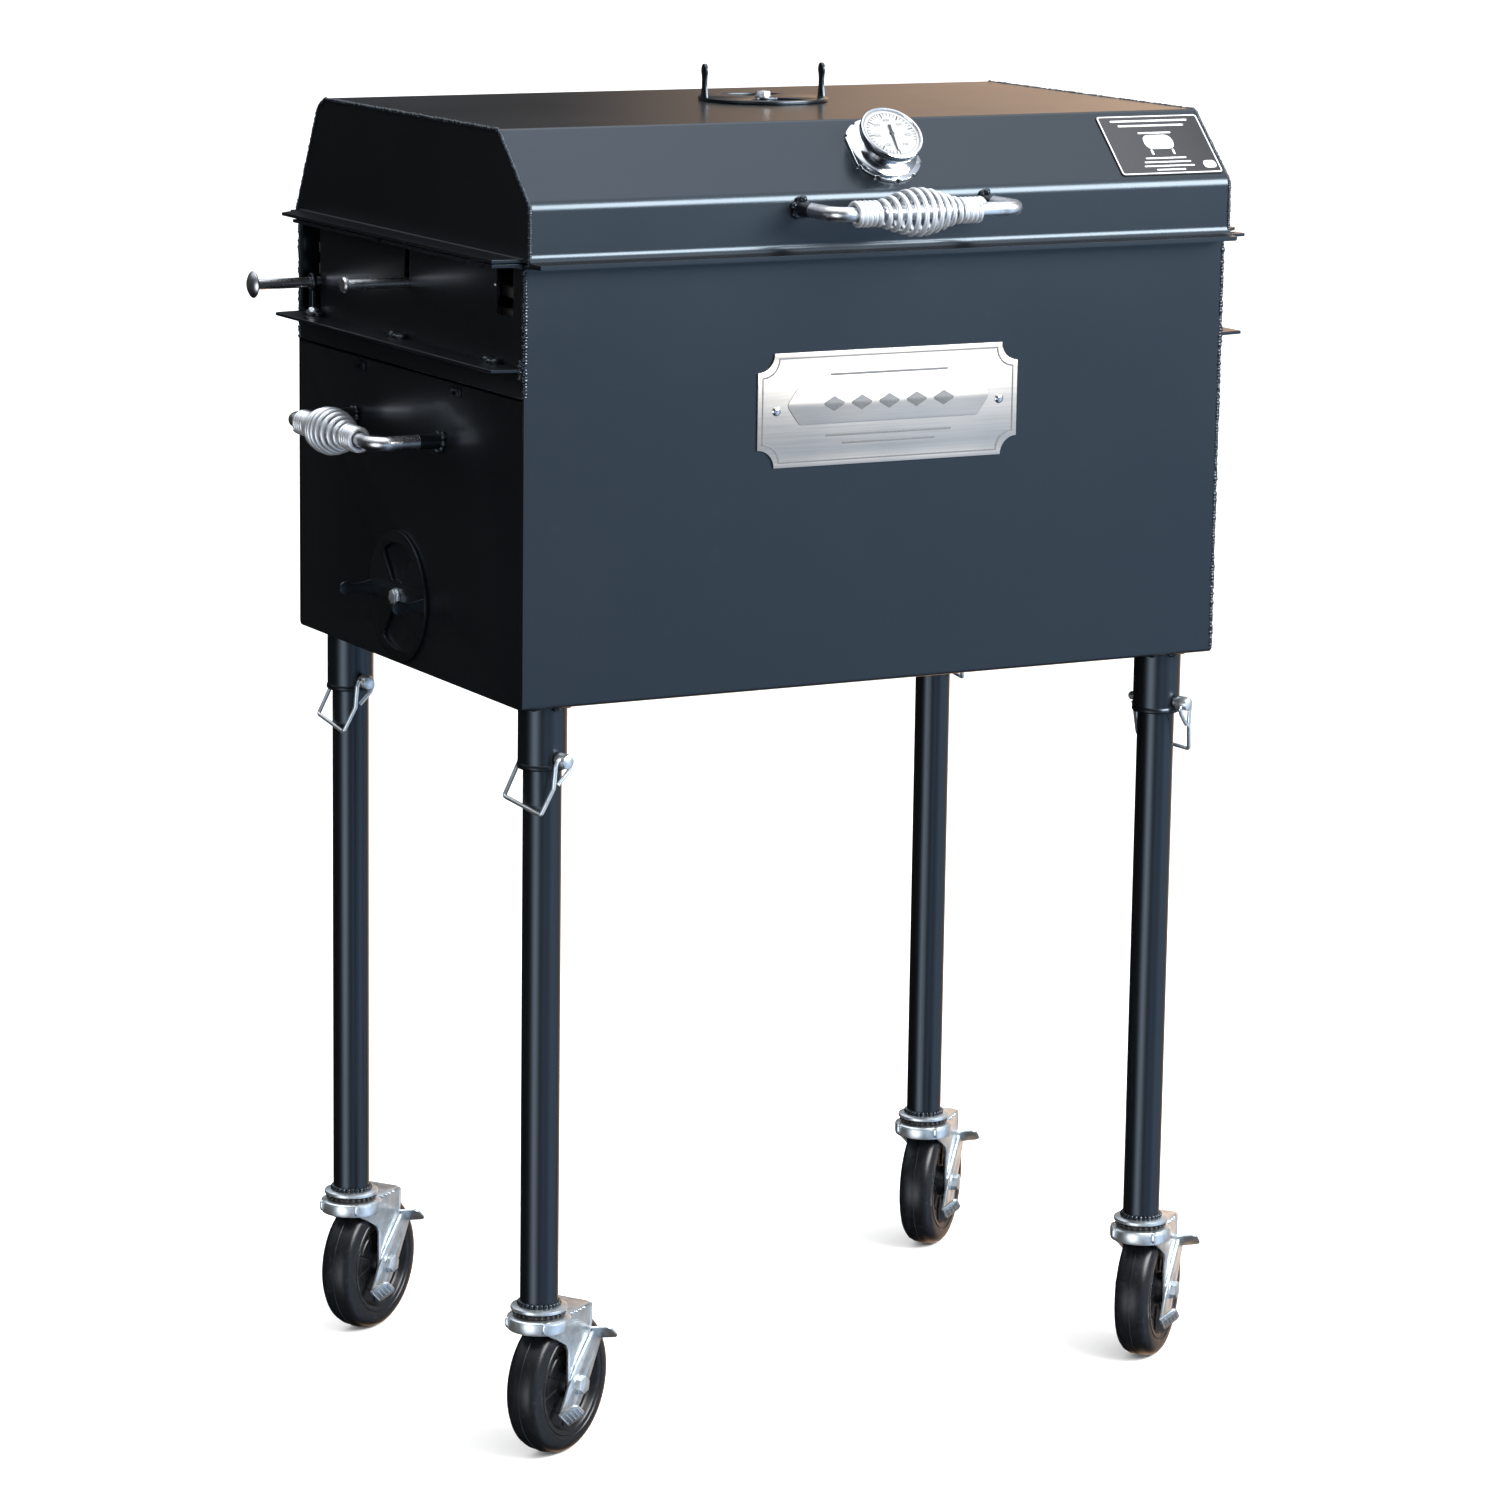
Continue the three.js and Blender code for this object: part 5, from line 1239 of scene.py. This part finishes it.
def pins(corner):
    side, end, pin_turn, _ = CORNERS[corner]
    turn = corner_turn(side, end) @ at(0, 0, PIN_DROP) @ spun(pin_turn)
    along = turn @ spun(90, "X")
    pin = Shape()
    pin.turned([(0, -29.6), (2.6, -29.2), (3.9, -27.6), (3.9, 23.6), (5.6, 24.0), (6.3, 25.0), (6.5, 28.0),
                (6.4, 33.8), (5.6, 35.8), (3.6, 36.7), (0, 37.0)], ZINC, along, sides=36)
    finished("pin_body_" + corner, pin, "lock_pin_" + corner, ["lock_pin_" + corner])
    hang = turn @ Matrix.Rotation(BAIL_LEAN * -side, 4, "Y")
    wire = Shape()
    head = -30.5
    long_run = [(side * 0.6, head + 1.5, -25), (0, head + 7, -49.6), (0, 31, -41.6), (0, 27, -12),
                (0, 27, -6.3)]
    short_run = [(-side * 2.4, head + 1.4, -21)]
    for way, run in ((side, long_run), (-side, short_run)):
        path = bent([(0, head, 0), (way * 7.4, head, -0.6), (way * 7.4, head, -7), *run], 2.6, 5)
        wire.swept(path, 1.9, ZINC, hang, sides=14)
    finished("bail_wire_" + corner, wire, "lock_pin_" + corner, ["pin_bail_" + corner])


FORK_IN, FORK_OUT = 17.5, 20.0
TRAIL = 30.0
WHEEL_RADIUS = 63.5


def caster_place(corner):
    side, end, _, caster_turn = CORNERS[corner]
    return corner_turn(side, end) @ at(0, 0, FLOOR) @ spun(caster_turn)


def fork(corner):
    stand = caster_place(corner)
    shape = Shape()
    crown = Shape()
    crown.turned([(0, 131.5), (21.5, 131.5), (24.4, 131.1), (27.2, 129.9), (28.0, 128.9), (27.4, 128.5),
                  (0, 128.5)], ZINC, stand, sides=72)
    bridge = rounded([(0, -FORK_OUT), (56, -FORK_OUT), (56, FORK_OUT), (0, FORK_OUT)], [0, 6, 6, 0], 5)
    crown.plate([bridge], 128.6, 131.4, ZINC, stand, edge=0.7)
    king_pin_hole = Shape()
    king_pin_hole.turned([(0, 120), (6.6, 120), (6.6, 140), (0, 140)], ZINC, stand, sides=28)
    crown = carved(crown, king_pin_hole)
    shape.take(crown.as_mesh("crown"), ZINC)
    skirt = Shape()
    skirt.turned([(26.4, 131.0), (27.6, 130.2), (28.0, 128.6), (27.9, 121.4), (27.3, 119.6), (26.0, 119.2),
                  (25.4, 120.6), (25.4, 128.0)], ZINC, stand, sides=80, closed=True)
    room = Shape()
    room.box((2, 60), (-40, 40), (100, 140), ZINC, stand)
    skirt = carved(skirt, room)
    shape.take(skirt.as_mesh("skirt"), ZINC)
    cheek = [(-23.5, 131.2), (56, 131.2), (56, 113.5), (TRAIL + 13, 66.5)]
    cheek += arc((TRAIL, WHEEL_RADIUS), 13, -12, -168, 12)
    cheek += [(TRAIL - 13, 101.5), (-23.5, 122.5)]
    cheek = rounded(cheek, [2, 3, 10, 4] + [0] * 13 + [16, 4], 5)
    bore = circle(5.0, 24, TRAIL, WHEEL_RADIUS)
    upright = stand @ SIDE_PLANE
    for low, high in ((-FORK_OUT, -FORK_IN), (FORK_IN, FORK_OUT)):
        shape.plate([cheek, bore], low, high, ZINC, upright, edge=0.5)
        outward = 1 if low > 0 else -1
        face = outward * (FORK_OUT - 0.1)
        for line in (((TRAIL + 11.5, 68), (TRAIL + 20, 92), (53, 115), (53.6, 127.5)),
                     ((TRAIL - 11.6, 66), (TRAIL - 11.6, 100), (-20.5, 123), (-22.2, 129))):
            shape.swept(bent([(x, face, z) for x, z in line], 8, 5), 0.55, ZINC, stand, sides=8)
        for k in range(9):
            shape.lump((-10 + k * 6.4, outward * 19.6, 129.6), 2.0, 1.2, ZINC, k, stand)
    finished("fork_" + corner, shape, "caster_" + corner, ["caster_fork_" + corner], edge=0.0)


def hub_place(corner):
    return caster_place(corner) @ at(TRAIL, 0, WHEEL_RADIUS)


def axle_bolt(corner):
    stand = hub_place(corner) @ spun(90, "X")
    shape = Shape()
    hexagon = circle(8.1, 6)
    nut_face, brake_face = -FORK_OUT - 0.3, FORK_OUT + 3.1
    shape.plate([hexagon], brake_face, brake_face + 6, ZINC, stand @ Matrix.Rotation(0.3, 4, "Z"), edge=0.7)
    shape.turned([(0, brake_face + 6.6), (3.4, brake_face + 6.4), (6.4, brake_face + 5.6),
                  (6.4, brake_face + 4), (0, brake_face + 4)], ZINC, stand, sides=30)
    shape.plate([hexagon], nut_face - 8, nut_face, ZINC, stand @ Matrix.Rotation(0.1, 4, "Z"), edge=0.7)
    thread = [(0, nut_face - 10), (3.8, nut_face - 10)]
    for k in range(10):
        thread += [(4.75, nut_face - 9.4 + k), (4.2, nut_face - 8.9 + k)]
    shape.turned(thread + [(4.75, nut_face + 2), (4.75, brake_face + 1), (0, brake_face + 1)], ZINC, stand,
                 sides=28)
    finished("bolt_" + corner, shape, "caster_" + corner, ["axle_bolt_" + corner])


def brake(corner):
    turn = hub_place(corner) @ spun(-50, "Y")
    upright = turn @ SIDE_PLANE
    plan = rounded([(-36, -9), (-12, -13), (12, -13), (44, -8), (50.3, -6), (50.3, 10), (44, 9), (12, 13),
                    (-12, 13), (-36, 9)], [3, 8, 8, 6, 2, 4, 6, 8, 8, 3], 4)
    bore = circle(5.0, 24)
    shape = Shape()
    shape.plate([plan, bore], -FORK_OUT - 2.8, -FORK_OUT - 0.3, ZINC, upright, edge=0.5)
    for x, y0, y1, swing in ((49.0, -8, 12, 12), (-34.6, -11, 10, 48)):
        stand = turn @ at(x, -FORK_OUT - 1.2, 0) @ spun(swing)
        pad = rounded([(-18.0, y0), (0.6, y0), (0.6, y1), (-18.0, y1)], [5, 0, 0, 5], 5)
        shape.plate([pad], -1.2, 1.2, ZINC, stand @ END_PLANE, edge=0.6)
        for k in range(4):
            spot = -15.5 + k * 3.6
            face = 1.3 if swing < 20 else -1.3
            shape.swept([(face, spot, y0 + 4), (face, spot, (y0 + y1) / 2), (face, spot, y1 - 4)], 0.7,
                        ZINC, stand, sides=8)
    shape.turned([(5.4, 0), (8.6, 0), (9.6, -1.2), (5.4, -1.2)], ZINC,
                 turn @ at(0, -FORK_OUT - 3.4, 0) @ spun(90, "X"), sides=36, closed=True)
    finished("brake_plate_" + corner, shape, "brake_" + corner, ["brake_lever_" + corner])


def wheel(corner):
    stand = hub_place(corner) @ spun(90, "X")
    half = [(5.05, 17.1), (12.6, 17.1), (13.6, 16.6), (14.0, 15.4), (15.0, 10.6), (17.6, 9.4), (27.0, 9.0),
            (28.2, 9.9), (29.4, 9.0), (38.6, 9.4), (40.6, 11.0), (41.8, 14.4), (43.4, 15.7), (46.2, 16.0),
            (47.0, 15.3), (48.2, 15.3), (49.0, 16.0), (54.0, 15.9), (57.8, 15.0), (60.6, 12.6), (62.4, 8.6),
            (62.9, 4.0), (62.95, 0.9), (WHEEL_RADIUS, 0.5), (WHEEL_RADIUS, 0)]
    profile = half + [(radius, -height) for radius, height in half[::-1] if height > 0.01]
    shape = Shape()
    shape.turned(profile, RUBBER, stand, sides=112, closed=True)
    for face in (-1, 1):
        for k in range(10):
            angle = 2 * math.pi * k / 10 + 0.2
            spoke = [(reach * math.cos(angle), reach * math.sin(angle), face * 9.6)
                     for reach in (15.5, 27.5, 39.5)]
            shape.swept(spoke, 1.1, RUBBER, stand, sides=10)
        shape.turned([(5.05, face * 17.2), (9.0, face * 17.2), (9.0, face * 15.0), (5.05, face * 15.0)],
                     ZINC, stand, sides=40, closed=True)
    finished("wheel_tyre_" + corner, shape, "wheel_" + corner, ["wheel_" + corner])


# ---- Putting it together ---------------------------------------------------------------

body_shell()
end_panel("left_end_panel", -1, SEAM + 4)
end_panel("right_end_panel", 1, SHEET + 0.3)
nameplate()
drawer_front()
charcoal_pan()
grate("charcoal_rods", "charcoal_grate", "charcoal_drawer", RAW, 11)
damper("drawer_damper_disc", "drawer_damper", "drawer_damper", DAMPER_ON_DRAWER)
damper_bolt("drawer_bolt", "drawer_damper_bolt", "charcoal_drawer", DAMPER_ON_DRAWER)
handle("drawer_bar", "drawer_handle", "drawer_spring", "drawer_grip_spring", "charcoal_drawer",
       at(-HALF_LENGTH, 17, 208) @ FACE_LEFT, 2.0)
grate("lower_rods", "grate_lower", "cooking_grate", GRATE, 13)
grate("upper_rods", "grate_upper", "cooking_grate", GRATE, 13)
grate_axle()
lock_rod()
lid_sheet()
handle("lid_bar", "lid_handle", "lid_spring", "lid_grip_spring", "lid",
       at(0, -LID_HALF_DEPTH, LID_BOTTOM + 37.65) @ FACE_FRONT, -12.0)
damper("lid_vent_disc", "lid_vent_damper", "lid_vent", VENT)
damper_bolt("lid_bolt", "lid_vent_bolt", "lid", VENT)
thermometer()
dial_needle()
label_plate()
hinge_strip("hinge_leaf_body", "hinge_strip_body", "cooker_body", -1)
hinge_strip("hinge_leaf_lid", "hinge_strip_lid", "lid", 1)
hinge_pin()
for corner in CORNERS:
    legs(corner)
    pins(corner)
    fork(corner)
    axle_bolt(corner)
    brake(corner)
    wheel(corner)
dial_cover = bpy.data.objects["thermometer_glass"]
dial_cover.data.materials.clear()
dial_cover.data.materials.append(GLASS)

# ---- Stage, light and camera -----------------------------------------------------------


def stage():
    disc = bpy.data.meshes.new("floor")
    round_floor = bmesh.new()
    bmesh.ops.create_circle(round_floor, cap_ends=True, segments=96, radius=70.0)
    round_floor.to_mesh(disc)
    round_floor.free()
    disc.materials.append(mottled("studio_floor", 0.8, (0.86, 0.86, 0.86), (0.88, 0.88, 0.88), 0.75, 0.05,
                                  2.0, Specular_IOR_Level=0.2))
    floor = bpy.data.objects.new("floor", disc)
    bpy.context.scene.collection.objects.link(floor)
    floor.visible_glossy = False


def softbox(name, direction, distance, size, power):
    light = bpy.data.lights.new(name, "AREA")
    light.shape = "RECTANGLE"
    light.size, light.size_y = size
    light.energy = power
    lamp = bpy.data.objects.new(name, light)
    aim = Vector(direction).normalized()
    centre = Vector((0, 0, 0.8))
    lamp.location = centre + aim * distance
    lamp.rotation_euler = aim.to_track_quat("Z", "Y").to_euler()
    bpy.context.scene.collection.objects.link(lamp)


def studio_world():
    world = bpy.data.worlds.new("studio")
    world.use_nodes = True
    bpy.context.scene.world = world
    world.node_tree.nodes.clear()
    sky = Graph(world.node_tree)
    ray = sky.add("ShaderNodeLightPath")
    look = sky.add("ShaderNodeTexCoord")
    seen = sky.add("ShaderNodeSeparateXYZ", None, Value(sky, look.outputs["Generated"]))
    x, y, z = (Value(sky, seen.outputs[i]) for i in range(3))
    # Soft lobes in front, above, to both sides and behind, with darkness between them.
    front = (x + 0.55).most(0).least(1.15) ** 2.5 * (y * -1).most(0) * (0.62 + (z * -1 + 0.25).most(0) * 0.8)
    low_left = (x * -0.18 + y * -0.96 + z * -0.2).most(0) ** 30.0
    above = z.most(0) ** 5.0 * 4.0
    left = (x * -0.86 + y * -0.47 + z * -0.2).most(0) ** 20.0 * 4.0
    right = x.most(0) ** 8.0 * 0.5
    behind = (z - 0.3).most(0) * y.most(0) * 3.0
    blue = sky.node("ShaderNodeBackground", None, Color=(0.74, 0.97, 1.3, 1),
                    Strength=front + low_left * 0.9)
    cool = sky.node("ShaderNodeBackground", None, Color=(0.9, 0.95, 1.03, 1),
                    Strength=0.005 + above + left + right + behind)
    sunset = ((x - y * 0.5) * 8.0).most(0).least(1) * ((y - 0.3) * 4.0).most(0).least(1)
    sunset = sunset * ((0.4 - z) * 5.0).most(0).least(1)
    warm = sky.node("ShaderNodeBackground", None, Color=(1.0, 0.67, 0.45, 1), Strength=sunset * 1.4)
    glossy = sky.node("ShaderNodeAddShader", None, sky.node("ShaderNodeAddShader", None, cool, blue), warm)
    plain = sky.node("ShaderNodeBackground", None, Color=(1, 1, 1, 1), Strength=1.7)
    shown = sky.node("ShaderNodeMixShader", None, Value(sky, ray.outputs["Is Glossy Ray"]), plain, glossy)
    sky.add("ShaderNodeOutputWorld", None, shown)


def camera():
    lens = bpy.data.cameras.new("camera")
    lens.lens = 124.704
    lens.sensor_width = 36.0
    lens.clip_end = 500.0
    eye = bpy.data.objects.new("camera", lens)
    turn = spun(-28.5686) @ spun(90 - 11.398, "X") @ spun(0.805)
    eye.matrix_world = Matrix.Translation(ORIGIN + Vector((-2.2135, -4.0646, 0.8295))) @ turn
    bpy.context.scene.collection.objects.link(eye)
    bpy.context.scene.camera = eye


stage()
studio_world()
softbox("edge_box", (0.469, -0.756, 0.456), 3.0, (2.6, 1.3), 240)
camera()
bpy.context.scene.view_settings.view_transform = "Standard"
